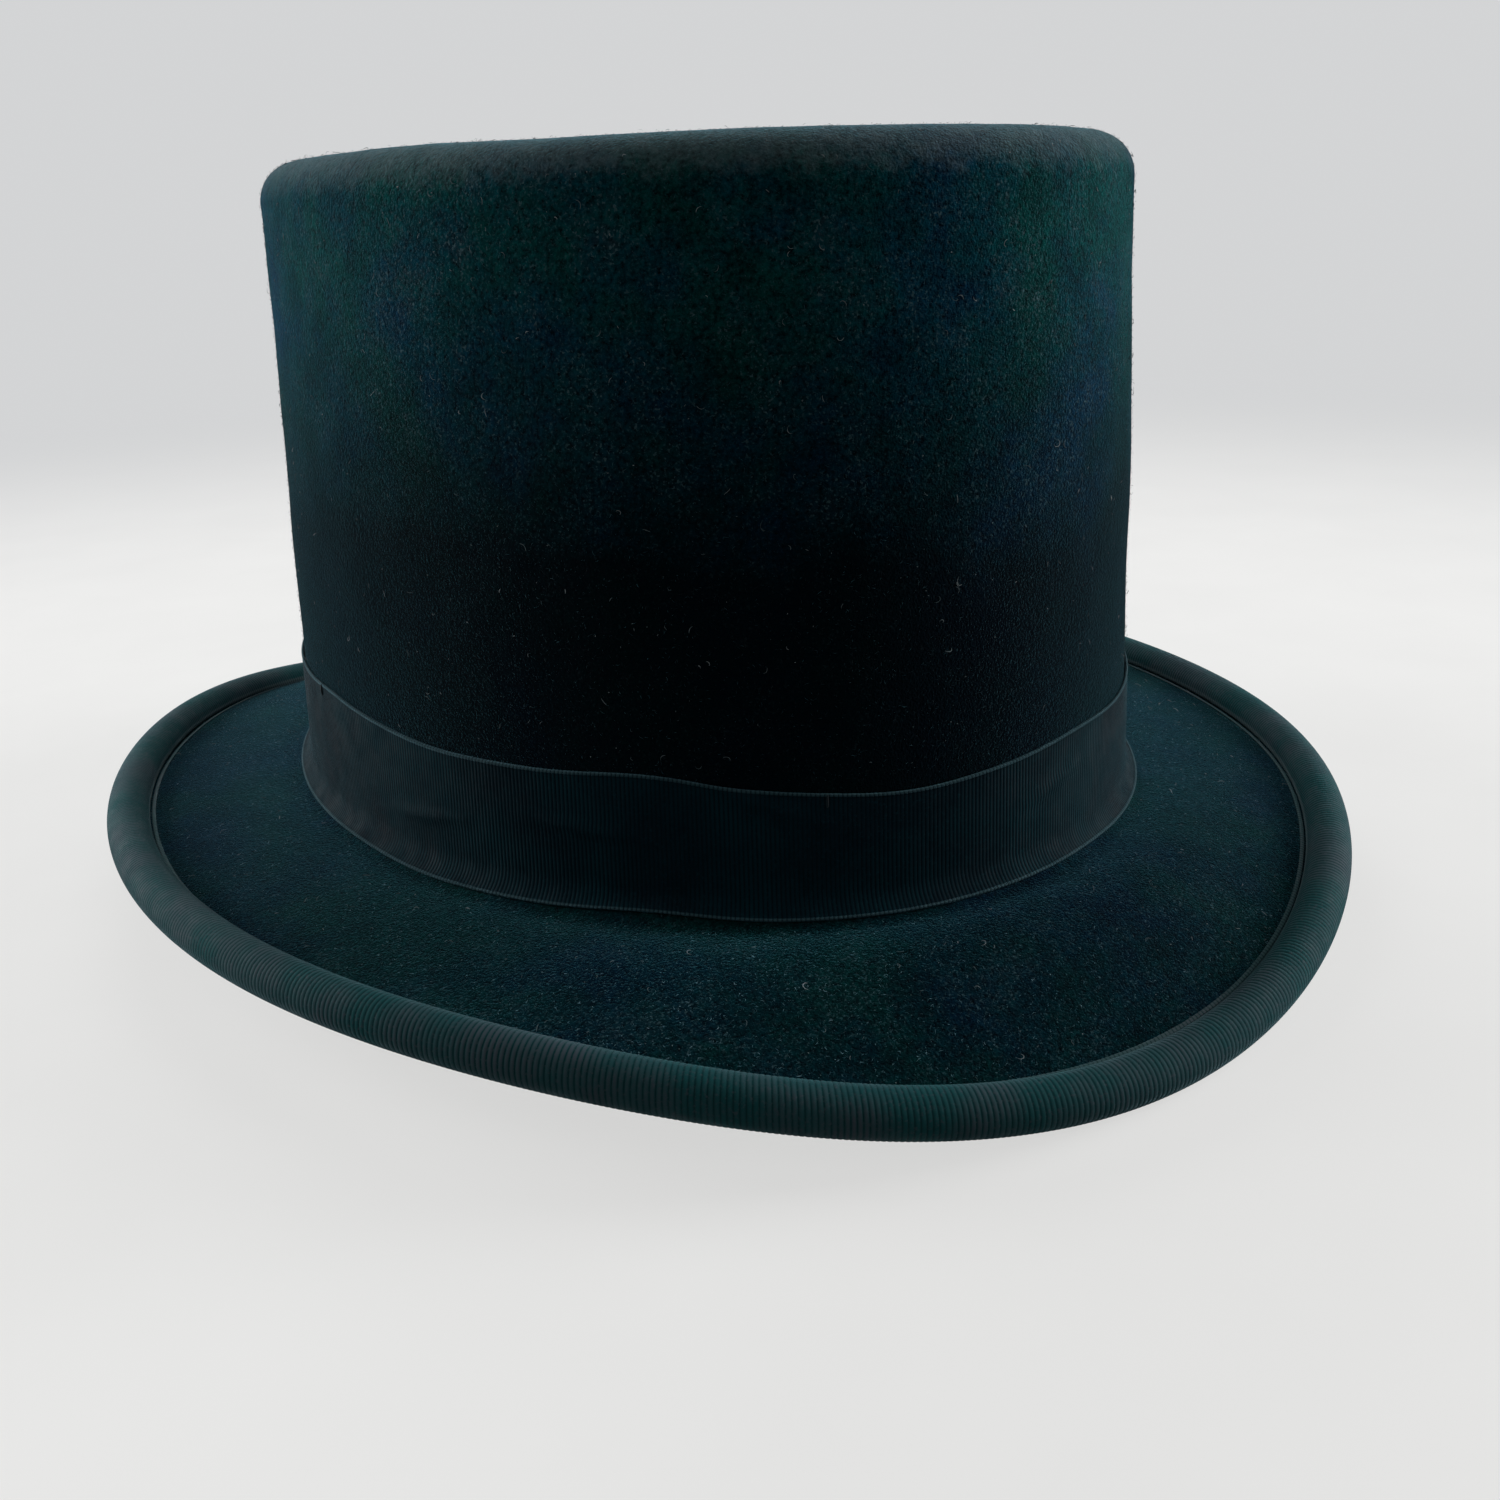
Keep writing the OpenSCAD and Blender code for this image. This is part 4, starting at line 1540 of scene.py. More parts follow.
@dataclass
class FlatBow:
    """Flat bow on the wearer's left: two pairs of loops under a wrapped knot."""

    lower_length: float = 76 * MM
    upper_length: float = 58 * MM
    width: float = 19 * MM
    knot_width: float = 17 * MM
    loop_gap: float = 0.8 * MM
    middle_z: float = 33.46 * MM
    puff: float = 0.7 * MM
    pinch: float = 0.9 * MM
    pinch_share: float = 0.62
    knot_bend: float = 0.9 * MM
    knot_dome: float = 0.25 * MM
    loop_rows: int = 22
    knot_rows: int = 20
    weave: Grosgrain = Grosgrain(thickness=0.42 * MM, rib_height=0.09 * MM, selvedge_height=0.08 * MM)
    finish: GrosgrainFinish = BAND_FINISH

    @property
    def depth(self) -> float:
        """Thickness of one flattened loop."""
        return self.loop_gap + 2 * FORM.ribbon

    @property
    def knot_back(self) -> float:
        """Distance of the knot's rear inner face from the hatband."""
        return FORM.ribbon_gap + FORM.ribbon

    @property
    def front(self) -> float:
        """Distance of the knot's front inner face from the hatband."""
        return self.knot_back + 3 * FORM.ribbon_gap + 2 * self.depth

    def face(self, z: np.ndarray) -> np.ndarray:
        """Offset of the straight line from the hatband's top to its flared foot.

        Args:
            z: Heights.

        Returns:
            The offsets.
        """
        r = FORM.cove_mid - FORM.ribbon_mid - FORM.ribbon / 2
        low, high = self.middle_z - self.width / 2, self.middle_z + self.width / 2
        z0, z1 = low - 2 * FORM.ribbon, high + 2 * FORM.ribbon
        d0 = FORM.cove_mid - math.sqrt(r**2 - (FORM.cove_z - z0) ** 2)
        d1 = FORM.wall_d(z1) + FORM.ribbon_mid + FORM.ribbon / 2
        return d0 + (d1 - d0) * (z - low) / self.width

    def point(self, s: np.ndarray, o: np.ndarray, z: np.ndarray) -> np.ndarray:
        """Points of the bow: along the hatband, out from it, and at a height."""
        return FORM.place(s / FORM.end_mid, self.face(z) + o, z)

    def loop(self, length: float, start: float, free_from: float) -> Surface:
        """Course of one flattened loop.

        Args:
            length: Length of the loop.
            start: Distance of its rear face from the hatband.
            free_from: Distance from the knot's middle where nothing lies on the loop.

        Returns:
            The surface that the ribbon is woven over.
        """
        half = (length - self.depth) / 2
        r = (self.loop_gap + FORM.ribbon) / 2
        middle = start + self.depth / 2
        straight, bend = 2 * half, math.pi * r
        total = 2 * (straight + bend)
        ends = straight, straight + bend, 2 * straight + bend

        def surface(along: np.ndarray, share: np.ndarray, height: np.ndarray) -> np.ndarray:
            """Points of the ribbon at shares along and across it.

            Args:
                along: Shares of its length.
                share: Shares of its width.
                height: Heights off its middle.

            Returns:
                The points.
            """
            run = (along * total + half) % total
            parts = [run < end for end in ends]
            turn, back_turn = (np.clip((run - end) / r, 0, math.pi) for end in (ends[0], ends[2]))
            away = r + height
            s = np.select(
                parts,
                [run - half, half + away * np.sin(turn), half - (run - ends[1])],
                -half - away * np.sin(back_turn),
            )
            o = np.select(parts, [-away, -away * np.cos(turn), away], away * np.cos(back_turn))
            free = np.clip((np.abs(s) - free_from) / (half - free_from), 0, 1)
            bulge = self.puff * np.sin(math.pi * free) ** 1.5 * (o > 0)
            waist = self.pinch * np.exp(-((s / (self.knot_width * self.pinch_share)) ** 2))
            across = (share - 0.5) * (self.width - 2 * waist)
            return self.point(s, middle + o + bulge, self.middle_z - across)

        return surface

    def knot(self) -> Surface:
        """Course of the ribbon that wraps the middle of the bow.

        Returns:
            The surface that the ribbon is woven over.
        """
        front = self.front + FORM.ribbon / 2
        rear = FORM.ribbon_gap + FORM.ribbon / 2
        tall = self.width / 2 + FORM.ribbon_gap + FORM.ribbon / 2
        r = self.knot_bend
        wide, high = front - rear - 2 * r, 2 * tall - 2 * r
        sides = (high, wide, high, wide)
        bend = math.pi / 2 * r
        total = sum(sides) + 4 * bend

        def surface(along: np.ndarray, share: np.ndarray, height: np.ndarray) -> np.ndarray:
            """Points of the ribbon at shares along and across it.

            Args:
                along: Shares of its length.
                share: Shares of its width.
                height: Heights off its middle.

            Returns:
                The points.
            """
            run = along * total
            o = np.zeros(np.broadcast(run, share).shape)
            z = np.zeros_like(o)
            ways = ((0, -1), (1, 0), (0, 1), (-1, 0))
            outs = ((-1, 0), (0, -1), (1, 0), (0, 1))
            corner = np.array([rear + r, tall - r])
            begin = 0.0
            for way, out, side in zip(ways, outs, sides):
                part = (run >= begin) & (run < begin + side)
                q = run - begin
                o = np.where(part, corner[0] + out[0] * (r + height) + way[0] * q, o)
                z = np.where(part, corner[1] + out[1] * (r + height) + way[1] * q, z)
                corner = corner + np.array(way) * side
                begin += side
                part = (run >= begin) & (run < begin + bend)
                turn = np.clip((run - begin) / r, 0, math.pi / 2)
                cos, sin = np.cos(turn), np.sin(turn)
                o = np.where(part, corner[0] + (r + height) * (out[0] * cos + way[0] * sin), o)
                z = np.where(part, corner[1] + (r + height) * (out[1] * cos + way[1] * sin), z)
                begin += bend
            s = (share - 0.5) * self.knot_width * (1 - 0.05 * np.cos(z / tall * math.pi / 2))
            dome = self.knot_dome * (o > front - r) * (1 - (2 * s / self.knot_width) ** 2)
            return self.point(s, o + dome, self.middle_z + z)

        return surface

    def build(self) -> None:
        """Build both pairs of loops, and the knot."""
        material = self.finish.material()
        lower = self.knot_back + FORM.ribbon_gap
        upper = lower + self.depth + FORM.ribbon_gap
        for name, length, start, free, node in (
            ("bow_lower_ribbon", self.lower_length, lower, self.upper_length / 2, "bow_lower_loops"),
            ("bow_upper_ribbon", self.upper_length, upper, self.knot_width / 2, "bow_upper_loops"),
        ):
            run = 2 * (length - self.depth) + math.pi * (self.loop_gap + FORM.ribbon)
            course = self.loop(length, start, free)
            mesh = self.weave.weave(name + "_shape", course, run, self.width, self.loop_rows)
            piece = show(name, mesh, material, [node])
        run = 2 * (self.width + self.front)
        mesh = self.weave.weave("bow_knot_shape", self.knot(), run, self.knot_width, self.knot_rows)
        piece = show("bow_knot_wrap", mesh, material, ["bow_knot"])


@dataclass
class BandTacks:
    """Few thread tacks over the top edge of the hatband."""

    count: int = 5
    first: float = math.radians(40)
    spread: float = math.radians(280)
    lift: float = 0.25 * MM
    above: float = 0.1 * MM
    stitch: Stitch = Stitch(sink=0.3 * MM)
    finish: ThreadFinish = ThreadFinish("tack_thread", (0.0015, 0.0090, 0.0130), (0.0006, 0.0030, 0.0050))

    def build(self, band: HatBand) -> None:
        """Sew the tacks to a hatband.

        Args:
            band: The hatband.
        """
        angle = self.first + self.spread * np.arange(self.count) / (self.count - 1)
        top = band.top_z(angle) + band.shift(angle, np.zeros(1))
        d = FORM.wall_d(top) + FORM.ribbon_mid + FORM.ribbon / 2 + self.lift
        start = FORM.place(angle, d, top + self.above)
        end = FORM.place(angle, d, top + self.above - self.stitch.length)
        nx, ny = FORM.normal(angle)
        mesh = self.stitch.sew("tack_sewing", start, end, np.stack([nx, ny, 0 * nx], -1))
        show("band_tacks", mesh, self.finish.material(), ["hatband_tacks"])


# ---------------------------------------------------------------------------------------------
# Inside
# ---------------------------------------------------------------------------------------------


@dataclass
class SweatBand:
    """Leather band in the head opening, with its reed, tape, stitches, back bow and ticket.

    Tooling is how far below the leather's top edge the tooled lines run, and line width how wide they
    and its edges' rounding are.
    """

    width: float = 45 * MM
    leather: float = 1 * MM
    reed: float = 2.2 * MM
    tape: float = 0.4 * MM
    tape_height: float = 8 * MM
    tape_gap: float = 0.2 * MM
    ply_gap: float = 0.15 * MM
    neck: float = math.radians(65)
    columns: int = 720
    rows: int = 56
    tape_rows: int = 44
    tooling: Range = (3.0 * MM, 4.3 * MM)
    line_width: float = 0.35 * MM
    line_depth: float = 0.16 * MM
    joint_width: float = 0.45 * MM
    edge_rounding: float = 0.32 * MM
    least_stand_off: float = 0.25 * MM
    stand_off: Swell = Swell(0.055, 0.45 * MM, 21)
    grain: Swell = Swell(0.009, 0.03 * MM, 22)
    stitch: Stitch = Stitch()
    stitch_count: int = 90
    stitch_lift: float = 0.32 * MM
    bow_half: float = 7.6 * MM
    bow_wide: float = 6 * MM
    bow_waist: float = 2.4 * MM
    bow_up: float = 6 * MM
    bow_depth: float = 0.28 * MM
    bow_lift: float = 0.45 * MM
    bow_gap: float = 0.35 * MM
    knot_depth: float = 0.62 * MM
    knot_half: float = 1.6 * MM
    knot_run: float = 7 * MM
    ticket_size: Range = (14 * MM, 24 * MM)
    ticket_corner: float = 1.5 * MM
    ticket_drop: float = 4 * MM
    ticket_thick: float = 0.22 * MM
    finish: LeatherFinish = LeatherFinish()
    thread: ThreadFinish = ThreadFinish("pale_thread", (0.70, 0.62, 0.48), (0.42, 0.34, 0.23))
    cord: ThreadFinish = ThreadFinish("reed_cord", (0.62, 0.56, 0.44), (0.36, 0.30, 0.21), 1.2 * MM)
    tape_finish: GrosgrainFinish = GrosgrainFinish(
        "reed_tape",
        painted_valley_shade=(0.004, 0.004, 0.005),
        crest=(0.020, 0.020, 0.022),
        worn=(0.034, 0.033, 0.034),
        selvedge_painted_sheen=(0.05, 0.05, 0.052),
        sheen=(0.8, 0.8, 0.8),
    )
    tape_weave: Grosgrain = Grosgrain(
        pitch=0.7 * MM, rib_height=0.05 * MM, samples=4, selvedge_width=0.5 * MM,
        selvedge_height=0.0, teeth=0.0, thickness=0.34 * MM,
    )
    bow_weave: Grosgrain = Grosgrain(
        pitch=0.55 * MM, rib_height=0.04 * MM, samples=4, selvedge_width=0.4 * MM,
        selvedge_height=0.04 * MM, teeth=0.0, thickness=0.22 * MM,
    )

    @property
    def reed_z(self) -> float:
        """Height of the reed's middle."""
        return FORM.foot_z + self.reed / 2 + self.ply_gap + self.tape + FORM.half

    @property
    def reed_d(self) -> float:
        """Offset of the reed's middle."""
        return -(FORM.half + self.tape_gap + self.reed / 2 + self.ply_gap + self.tape)

    @property
    def out(self) -> float:
        """Distance of the leather's outer face inside the felt's middle."""
        return FORM.half + self.tape_gap + 2 * self.tape + 2 * self.ply_gap

    @property
    def foot(self) -> float:
        """Height of the leather's lower edge."""
        return self.reed_z + self.reed / 2 + self.ply_gap + self.tape + self.tape_gap

    def build(self) -> None:
        """Build every piece of the sweatband."""
        self.build_leather()
        self.build_tape()
        self.sew()
        self.tie_back_bow()
        self.tuck_ticket()
        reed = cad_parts["sweatband_reed"]
        reed.data.materials.clear()
        reed.data.materials.append(self.cord.material())

    def build_leather(self) -> None:
        """Build the leather, with two tooled lines and a closed joint at the back."""

        def line(gap: np.ndarray, width: float) -> np.ndarray:
            """Depth of a groove from 0 to 1, at a gap from its middle."""
            return np.exp(-((gap / width) ** 2))

        angle = FORM.even_angles(self.columns, -self.out)[:, None]
        share = np.linspace(0, 1, self.rows)[None]
        z = self.foot + self.width * share
        middle = FORM.place(angle, FORM.wall_d(z), z)
        lean = np.clip((share - 0.25) / 0.75, 0, 1) ** 1.5
        off = (np.abs(self.stand_off(middle)) + self.least_stand_off) * lean
        drop = self.foot + self.width - z
        tooling = sum(line(drop - at, self.line_width) for at in self.tooling)
        joint = line(((angle - TURN / 4 + math.pi) % TURN - math.pi) * FORM.side_mid, self.joint_width)
        groove = np.clip(np.broadcast_to(tooling, off.shape) + joint, 0, 1)
        soft_edge = np.exp(-drop / self.line_width) + np.exp(-(self.width - drop) / self.line_width)
        soft_edge = self.edge_rounding * soft_edge
        face = self.out + self.leather + off - groove * self.line_depth - soft_edge + self.grain(middle)
        inner = FORM.place(angle, FORM.wall_d(z) - face, z)
        outer = FORM.place(angle, FORM.wall_d(z) - (self.out + off + soft_edge), z)
        marks = {"tooling": np.concatenate([groove, np.zeros_like(groove)], 1)}
        length = FORM.girth(-self.out)
        size = (length, 2 * self.width)
        mesh = grid_mesh("leather_shape", two_skins(inner, outer), True, True, size, marks)
        piece = show("sweatband_leather", mesh, self.finish.material(), ["sweatband"])

    def build_tape(self) -> None:
        """Build the tape, folded round the reed and up between the leather and the felt."""
        r = self.reed / 2 + self.ply_gap + self.tape / 2
        d0 = -(FORM.half + self.tape_gap + self.tape / 2)
        d1 = d0 - self.tape - self.ply_gap
        top = self.reed_z + self.tape_height
        neck_z = self.reed_z + self.reed / 2 + 2 * self.ply_gap + self.tape
        t = np.linspace(0, -(math.pi + self.neck), 40)
        path = np.concatenate([
            np.stack([np.full(12, d0), np.linspace(top, self.reed_z, 12, endpoint=False)], -1),
            np.stack([self.reed_d + r * np.cos(t), self.reed_z + r * np.sin(t)], -1),
            np.stack([np.full(12, d1), np.linspace(neck_z, top, 12)], -1),
        ])
        run = np.r_[0, np.cumsum(np.linalg.norm(np.diff(path, axis=0), axis=1))]
        way = unit(np.gradient(path, run, axis=0))
        track = FORM.even_angles(TRACK_STEPS + 1, self.reed_d, closed=False)

        def surface(along: np.ndarray, share: np.ndarray, height: np.ndarray) -> np.ndarray:
            """Points of the tape at shares along and across it.

            Args:
                along: Shares of its length.
                share: Shares of its width.
                height: Heights off its middle.

            Returns:
                The points.
            """
            at = np.clip(share, 0, 1) * run[-1]
            d, z, wd, wz = (np.interp(at, run, v) for v in (*path.T, *way.T))
            return FORM.place(np.interp(along, TRACK_SHARES, track), d - wz * height, z + wd * height)

        length, width = FORM.girth(self.reed_d), float(run[-1])
        mesh = self.tape_weave.weave("tape_shape", surface, length, width, self.tape_rows)
        piece = show("reed_tape_ribbon", mesh, self.tape_finish.material(), ["reed_tape"])

    def sew(self) -> None:
        """Sew the leather's lower edge."""
        z = self.foot + self.tape_height / 3
        d = FORM.wall_d(z) - self.out - self.leather - self.stitch_lift
        angle = np.arange(self.stitch_count) * TURN / self.stitch_count
        speed = np.hypot(FORM.side_mid * np.sin(angle), FORM.end_mid * np.cos(angle))
        step = self.stitch.length / 2 / speed
        nx, ny = FORM.normal(angle)
        start, end = FORM.place(angle - step, d, z), FORM.place(angle + step, d, z)
        mesh = self.stitch.sew("sweatband_sewing", start, end, np.stack([-nx, -ny, 0 * nx], -1))
        show("sweatband_seam", mesh, self.thread.material(), ["sweatband_stitches"])

    def tie_back_bow(self) -> None:
        """Tie the small bow over the leather's joint: a flattened loop and its knot."""
        half, wide, waist = self.bow_half, self.bow_wide, self.bow_waist
        middle = self.foot + self.bow_up

        def put(s: np.ndarray, o: np.ndarray, z: np.ndarray) -> np.ndarray:
            """Points at a distance along the joint's leather, in from it, and at a height."""
            d = FORM.wall_d(z) - self.out - self.leather - self.bow_gap - o
            return FORM.place(TURN / 4 - s / FORM.side_mid, d, z)

        def loops(along: np.ndarray, share: np.ndarray, height: np.ndarray) -> np.ndarray:
            """Points of both loops at shares along and across the ribbon.

            Args:
                along: Shares of its length.
                share: Shares of its width.
                height: Heights off its middle.

            Returns:
                The points.
            """
            t = along * TURN
            s = half * np.sign(np.cos(t)) * np.abs(np.cos(t)) ** 0.9
            bulge = 1 + 0.9 * np.sin(TURN * np.abs(s) / half / 2) ** 2
            o = (self.bow_depth + height) * np.sin(t) * bulge + self.bow_lift
            width = waist + (wide - waist) * np.minimum(np.abs(s) / half, 1) ** 0.7
            return put(s, o, middle + (share - 0.5) * width)

        def knot(along: np.ndarray, share: np.ndarray, height: np.ndarray) -> np.ndarray:
            """Points of the knot at shares along and across the ribbon.

            Args:
                along: Shares of its length.
                share: Shares of its width.
                height: Heights off its middle.

            Returns:
                The points.
            """
            t = along * TURN
            o = self.knot_depth + (self.knot_depth + height) * np.sin(t)
            return put((share - 0.5) * waist * 1.1, o, middle + (self.knot_half + height) * np.cos(t))

        material = self.tape_finish.material()
        mesh = self.bow_weave.weave("back_bow_shape", loops, 4 * half, wide, 12)
        show("back_bow_loops", mesh, material, ["sweatband_back_bow"])
        mesh = self.bow_weave.weave("back_knot_shape", knot, self.knot_run, waist, 8)
        show("back_bow_knot", mesh, material)

    def tuck_ticket(self) -> None:
        """Tuck the blank ticket behind the leather at the back."""
        high, wide = self.ticket_size
        corner = self.ticket_corner
        s = np.linspace(-wide / 2, wide / 2, 41)[:, None]
        inset = np.maximum(np.abs(s) - (wide / 2 - corner), 0)
        cut = corner - np.sqrt(np.maximum(corner**2 - inset**2, 0))
        share = np.linspace(0, 1, 17)[None]
        z = self.foot + self.width - high - self.ticket_drop + cut + (high - 2 * cut) * share
        near = self.out - self.ply_gap
        angle = TURN / 4 + s / FORM.side_mid
        faces = (FORM.place(angle, FORM.wall_d(z) - v, z) for v in (near, near - self.ticket_thick))
        mesh = grid_mesh("ticket_shape", two_skins(*faces), False, True, (wide, 2 * high))
        piece = show("blank_ticket", mesh, TicketFinish().material(), ["size_ticket"])


@dataclass
class Lining:
    """Satin lining: the side, the oval under the tip, and the piping between them."""

    gap: float = 0.3 * MM
    thickness: float = 0.4 * MM
    hem: float = 15 * MM
    end_turn: float = math.radians(70.5)
    piping: float = 1.4 * MM
    piping_turn: float = math.radians(78)
    columns: int = 840
    wall_rows: int = 90
    bend_rows: int = 14
    tip_columns: int = 480
    tip_rows: int = 44
    tip_middle: float = 0.01
    tip_overlap: float = 0.55 * MM
    pucker: float = 0.22 * MM
    folds: int = 46
    fold_depth: float = 1.1 * MM
    sag: float = 0.9 * MM
    slack: Swell = Swell(0.030, 0.35 * MM, 31)
    satin: SatinFinish = SatinFinish("lining_satin", (0.72, 0.66, 0.53), (0.50, 0.43, 0.31))
    cord: SatinFinish = SatinFinish("piping_satin", (0.56, 0.49, 0.37), (0.36, 0.29, 0.20), 1.2 * MM)

    @property
    def out(self) -> float:
        """Distance of the lining's outer face inside the felt's middle."""
        return FORM.half + self.gap

    def build(self) -> None:
        """Build the side, the tip and the piping."""
        material = self.satin.material()
        self.build_side(material)
        self.build_tip(material)
        self.build_piping()

    def fold(self, angle: np.ndarray, share: np.ndarray) -> np.ndarray:
        """How far the side stands in from its smooth shape.

        Args:
            angle: Angles round the oval.
            share: Shares of the height, from the hem to the shoulder.

        Returns:
            Distances inward, never negative.
        """
        rng = np.random.default_rng(33)
        free = np.sin(math.pi * np.clip((share - 0.34) / 0.64, 0, 1)) ** 0.8
        gather = np.clip((share - 0.55) / 0.45, 0, 1) * (share < 1)
        lean = 0.5 * np.sin(3 * angle) * share
        wave = np.zeros(np.broadcast(angle, share).shape)
        for k, weight in ((self.folds, 0.5), (self.folds // 2 + 1, 0.35), (7, 0.4)):
            wave = wave + weight * np.sin(k * (angle + 0.12 * lean) + rng.uniform(0, TURN))
        return self.fold_depth * np.clip(0.35 + wave, 0, None) * (0.45 * free + 0.55 * free * gather)

    def build_side(self, material: bpy.types.Material) -> None:
        """Build the lining of the side wall, turned in under the shoulder.

        Args:
            material: The satin.
        """
        angle = FORM.even_angles(self.columns, -self.out)[:, None]
        z = np.linspace(FORM.foot_z + self.hem, FORM.shoulder_z, self.wall_rows)[None]
        turn = np.linspace(0, self.end_turn, self.bend_rows)[None, 1:]
        total = z.shape[1] + turn.shape[1]
        share = np.linspace(0, 1, total)[None]
        shift = self.fold(angle, share)
        flat = FORM.place(angle, 0.0, np.linspace(FORM.foot_z, FORM.tip_z, total)[None])
        shift = shift + np.abs(self.slack(flat)) * np.sin(math.pi * np.clip((share - 0.34) / 0.66, 0, 1))
        faces = []
        for v in (self.out + self.thickness, self.out + 0.05 * MM):
            wall = FORM.place(angle, FORM.wall_d(z) - v - shift[:, : z.shape[1]], z)
            bend = FORM.shoulder(angle, -v - shift[:, z.shape[1]:] * 0.6, turn)
            faces.append(np.concatenate([wall, bend], 1))
        length = FORM.girth(-self.out)
        height = float(z[0, -1] - z[0, 0]) + FORM.shoulder_mid * self.end_turn
        mesh = grid_mesh("lining_side_shape", two_skins(*faces), True, True, (length, 2 * height))
        piece = show("lining_side_satin", mesh, material, ["lining_side"])

    def build_tip(self, material: bpy.types.Material) -> None:
        """Build the oval under the tip, puckered at its edge and sagging a little.

        Args:
            material: The satin.
        """
        angle = FORM.even_angles(self.tip_columns, FORM.shoulder_d)[:, None]
        share = np.linspace(self.tip_middle, 1, self.tip_rows)[None]
        top = FORM.tip_z - FORM.felt - self.gap - 0.04 * MM
        rim = FORM.place(angle, FORM.shoulder_d + self.tip_overlap, top)
        near_rim = np.clip((share - 0.8) / 0.2, 0, 1)
        pucker = self.pucker * (np.sin(90 * angle) + 0.6 * np.sin(37 * angle + 1)) * near_rim**1.5
        pucker = np.abs(pucker) * np.sin(math.pi * near_rim) ** 0.5
        flat = rim * np.stack([share[0]] * 3, -1)[None]
        flat[..., 2] = top
        drop = self.sag * (1 - share**2) ** 1.5 + pucker + np.abs(self.slack(flat)) * 0.5 * (1 - share)
        low, high = flat.copy(), flat.copy()
        low[..., 2] -= drop + 0.3 * MM
        high[..., 2] -= drop
        mesh = grid_mesh("lining_tip_shape", two_skins(low, high), True, False, (0.49, 0.16))
        close_middle(mesh, self.tip_columns, 2 * self.tip_rows)
        piece = show("lining_tip_satin", mesh, material, ["lining_tip"])
        a, b = (v + FORM.shoulder_d for v in (FORM.side_mid, FORM.end_mid))

    def build_piping(self) -> None:
        """Build the gathered cord over the seam."""
        columns, sides = 1800, 12
        angle = FORM.even_angles(columns, FORM.shoulder_d)[:, None]
        r = FORM.shoulder_mid - self.out - self.thickness - self.piping / 4
        d = FORM.shoulder_d + r * math.cos(self.piping_turn)
        z = FORM.shoulder_z + r * math.sin(self.piping_turn)
        t = np.arange(sides)[None] * TURN / sides
        gather = 1 + 0.05 * np.sin(300 * angle + 2 * t) + 0.03 * np.sin(171 * angle)
        radius = (self.piping / 2 + 0.15 * MM) * gather
        points = FORM.place(angle, d + radius * np.cos(t), z + radius * np.sin(t))
        mesh = grid_mesh("piping_shape", points, True, True, (0.5, 0.0044))
        show("lining_piping_cord", mesh, self.cord.material(), ["lining_piping"])


# ---------------------------------------------------------------------------------------------
# Studio
# ---------------------------------------------------------------------------------------------


def seen(tree: bpy.types.NodeTree) -> bpy.types.NodeSocket:
    """Whether a ray comes from the camera, or by way of gloss or glass.

    Args:
        tree: The nodes of the material or the world that asks.

    Returns:
        A socket of 1 or 0.
    """
    path = tree.nodes.new("ShaderNodeLightPath").outputs
    either = path["Is Camera Ray"]
    for other in ("Is Glossy Ray", "Is Transmission Ray"):
        node = tree.nodes.new("ShaderNodeMath")
        node.operation = "MAXIMUM"
        tree.links.new(either, node.inputs[0])
        tree.links.new(path[other], node.inputs[1])
        either = node.outputs[0]
    return either


@dataclass(frozen=True)
class SoftLight:
    """A square soft light that faces the hat."""

    name: str
    place: Colour
    size: float
    power: float
    spread: float = math.radians(90)

    def build(self, target: Vector) -> None:
        """Hang the light.

        Args:
            target: Point that it faces.
        """
        lamp = bpy.data.lights.new(self.name, "AREA")
        lamp.size, lamp.energy, lamp.spread = self.size, self.power, self.spread
        piece = bpy.data.objects.new(self.name, lamp)
        piece.location = self.place
        piece.rotation_euler = (Vector(self.place) - target).to_track_quat("Z", "Y").to_euler()
        bpy.context.scene.collection.objects.link(piece)


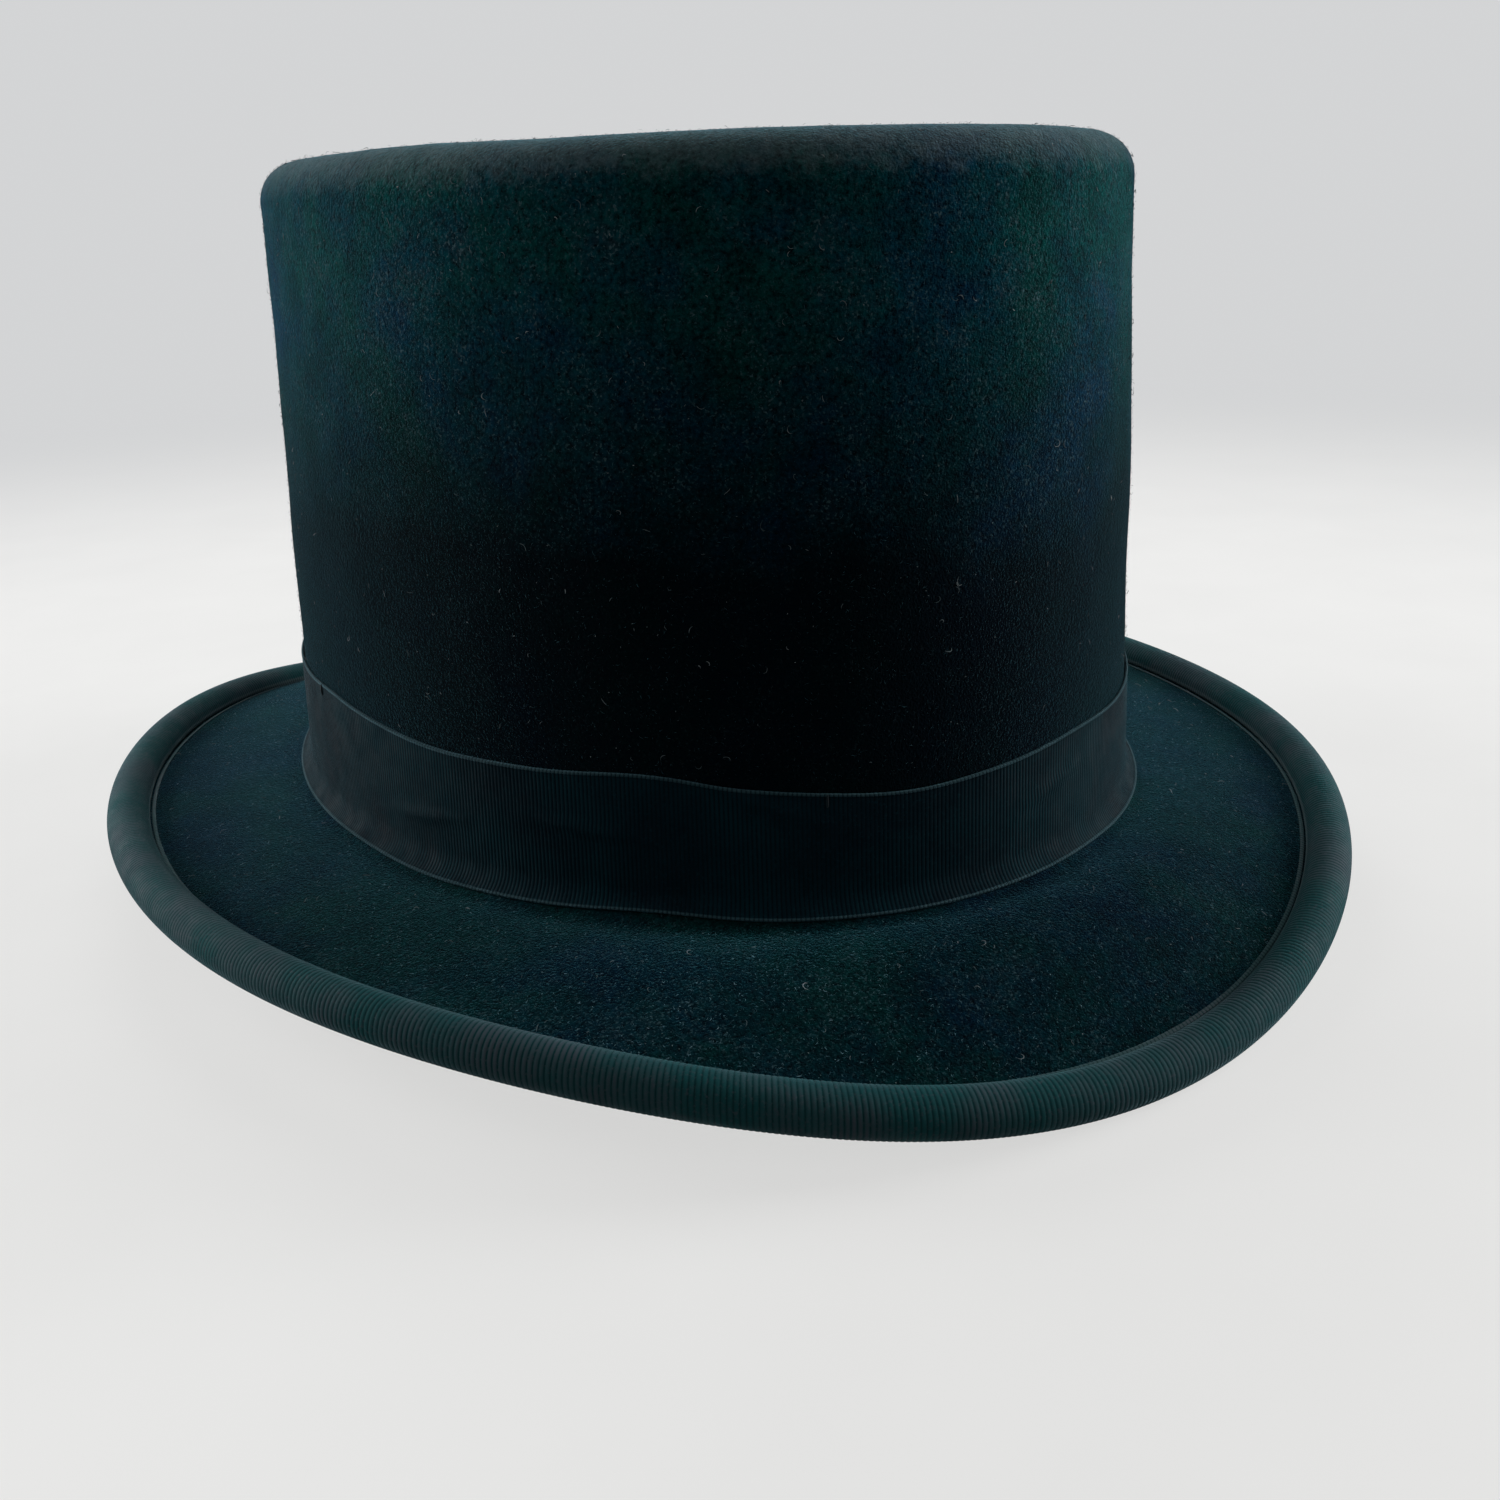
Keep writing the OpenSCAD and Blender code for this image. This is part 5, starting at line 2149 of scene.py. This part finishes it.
@dataclass
class Studio:
    """Pale floor, soft lights and the camera of the photograph."""

    azimuth: float = -30.2
    elevation: float = 20.56
    distance: float = 339.17 * MM
    roll: float = -1.82
    aside: float = 10.68 * MM
    target_z: float = 13.54 * MM
    lens: float = 34.78
    light_z: float = 60 * MM
    floor_radius: float = 6.0
    floor_sides: int = 128
    floor_colour: Colour = (0.18, 0.18, 0.178)
    floor_dust: Colour = (0.50, 0.50, 0.49)
    floor_lift: Colour = (0.64, 0.64, 0.634)
    floor_near: Range = (0.25, 0.85)
    backdrop: Colour = (0.654, 0.661, 0.669)
    ambient: float = 0.092
    lights: tuple[SoftLight, ...] = (
        SoftLight("back_light", (0.25, 0.85, 0.80), 0.8, 2.1),
        SoftLight("left_light", (-0.80, 0.90, 0.36), 0.6, 4.4),
        SoftLight("right_light", (1.08, -0.30, 0.36), 0.6, 4.4),
        SoftLight("front_light", (-0.45, -0.85, 1.15), 0.9, 0.66),
    )

    def build(self) -> None:
        """Build the floor, the world, the lights and the camera."""
        self.lay_floor()
        self.light_world()
        for light in self.lights:
            light.build(Vector((0.0, 0.0, self.light_z)))
        self.set_camera()
        bpy.context.scene.view_settings.view_transform = "Standard"

    def lay_floor(self) -> None:
        """Lay a wide round floor, which turns into the backdrop's even tone away from the hat."""
        t = np.arange(self.floor_sides) * TURN / self.floor_sides
        rim = self.floor_radius * np.stack([np.cos(t), np.sin(t), 0 * t], -1)
        mesh = bpy.data.meshes.new("floor_shape")
        mesh.from_pydata(rim.tolist(), [], [list(range(self.floor_sides))])
        p = Painter("pale_floor")
        away = p.add("ShaderNodeVectorMath", {0: p.place()}, operation="LENGTH").outputs["Value"]
        near = p.span(away, *self.floor_near, 1.0, 0.0, interpolation_type="SMOOTHSTEP")
        speckle = p.span(p.noise(p.place(), 0.05, 3.0), 0.3, 0.7, 0.0, 0.06)
        pale = p.mix(speckle, self.floor_colour, self.floor_dust)
        p.dress(
            Base_Color=p.mix(near, (0.0, 0.0, 0.0), pale),
            Roughness=0.95,
            Specular_IOR_Level=0.0,
            Emission_Color=p.mix(near, self.backdrop, self.floor_lift),
            Emission_Strength=seen(p.tree),
        )
        mesh.materials.append(p.material)
        floor = bpy.data.objects.new("floor", mesh)
        bpy.context.scene.collection.objects.link(floor)

    def light_world(self) -> None:
        """Light the scene evenly, with a pale backdrop for the camera."""
        world = bpy.data.worlds.new("studio")
        bpy.context.scene.world = world
        world.use_nodes = True
        tree = world.node_tree
        back = tree.nodes["Background"]
        back.inputs["Color"].default_value = (*self.backdrop, 1.0)
        strength = tree.nodes.new("ShaderNodeMapRange")
        strength.inputs["To Min"].default_value = self.ambient
        strength.inputs["To Max"].default_value = 1.0
        tree.links.new(seen(tree), strength.inputs["Value"])
        tree.links.new(strength.outputs[0], back.inputs["Strength"])

    def set_camera(self) -> None:
        """Stand the camera where the photograph was taken from."""
        az, el, roll = (math.radians(v) for v in (self.azimuth, self.elevation, self.roll))
        back = Vector((math.sin(az) * math.cos(el), -math.cos(az) * math.cos(el), math.sin(el)))
        right = Vector((math.cos(az), math.sin(az), 0.0))
        up = back.cross(right)
        x = right * math.cos(roll) + up * math.sin(roll)
        y = up * math.cos(roll) - right * math.sin(roll)
        lens = bpy.data.cameras.new("photo_view")
        lens.lens, lens.sensor_width, lens.clip_start = self.lens, 36.0, 0.01
        camera = bpy.data.objects.new("photo_view", lens)
        place = Matrix((x, y, back)).transposed().to_4x4()
        place.translation = right * self.aside + Vector((0, 0, self.target_z)) + back * self.distance
        camera.matrix_world = place
        bpy.context.scene.collection.objects.link(camera)
        bpy.context.scene.camera = camera


def main() -> None:
    """Build the hat, piece by piece, and the studio round it."""
    logging.basicConfig(level=logging.INFO, format="%(name)s: %(message)s")
    Studio().build()
    FeltBody().build()
    band = HatBand()
    band.build()
    BrimBinding().build()
    FlatBow().build()
    BandTacks().build(band)
    SweatBand().build()
    Lining().build()


if __name__ == "__main__":
    main()
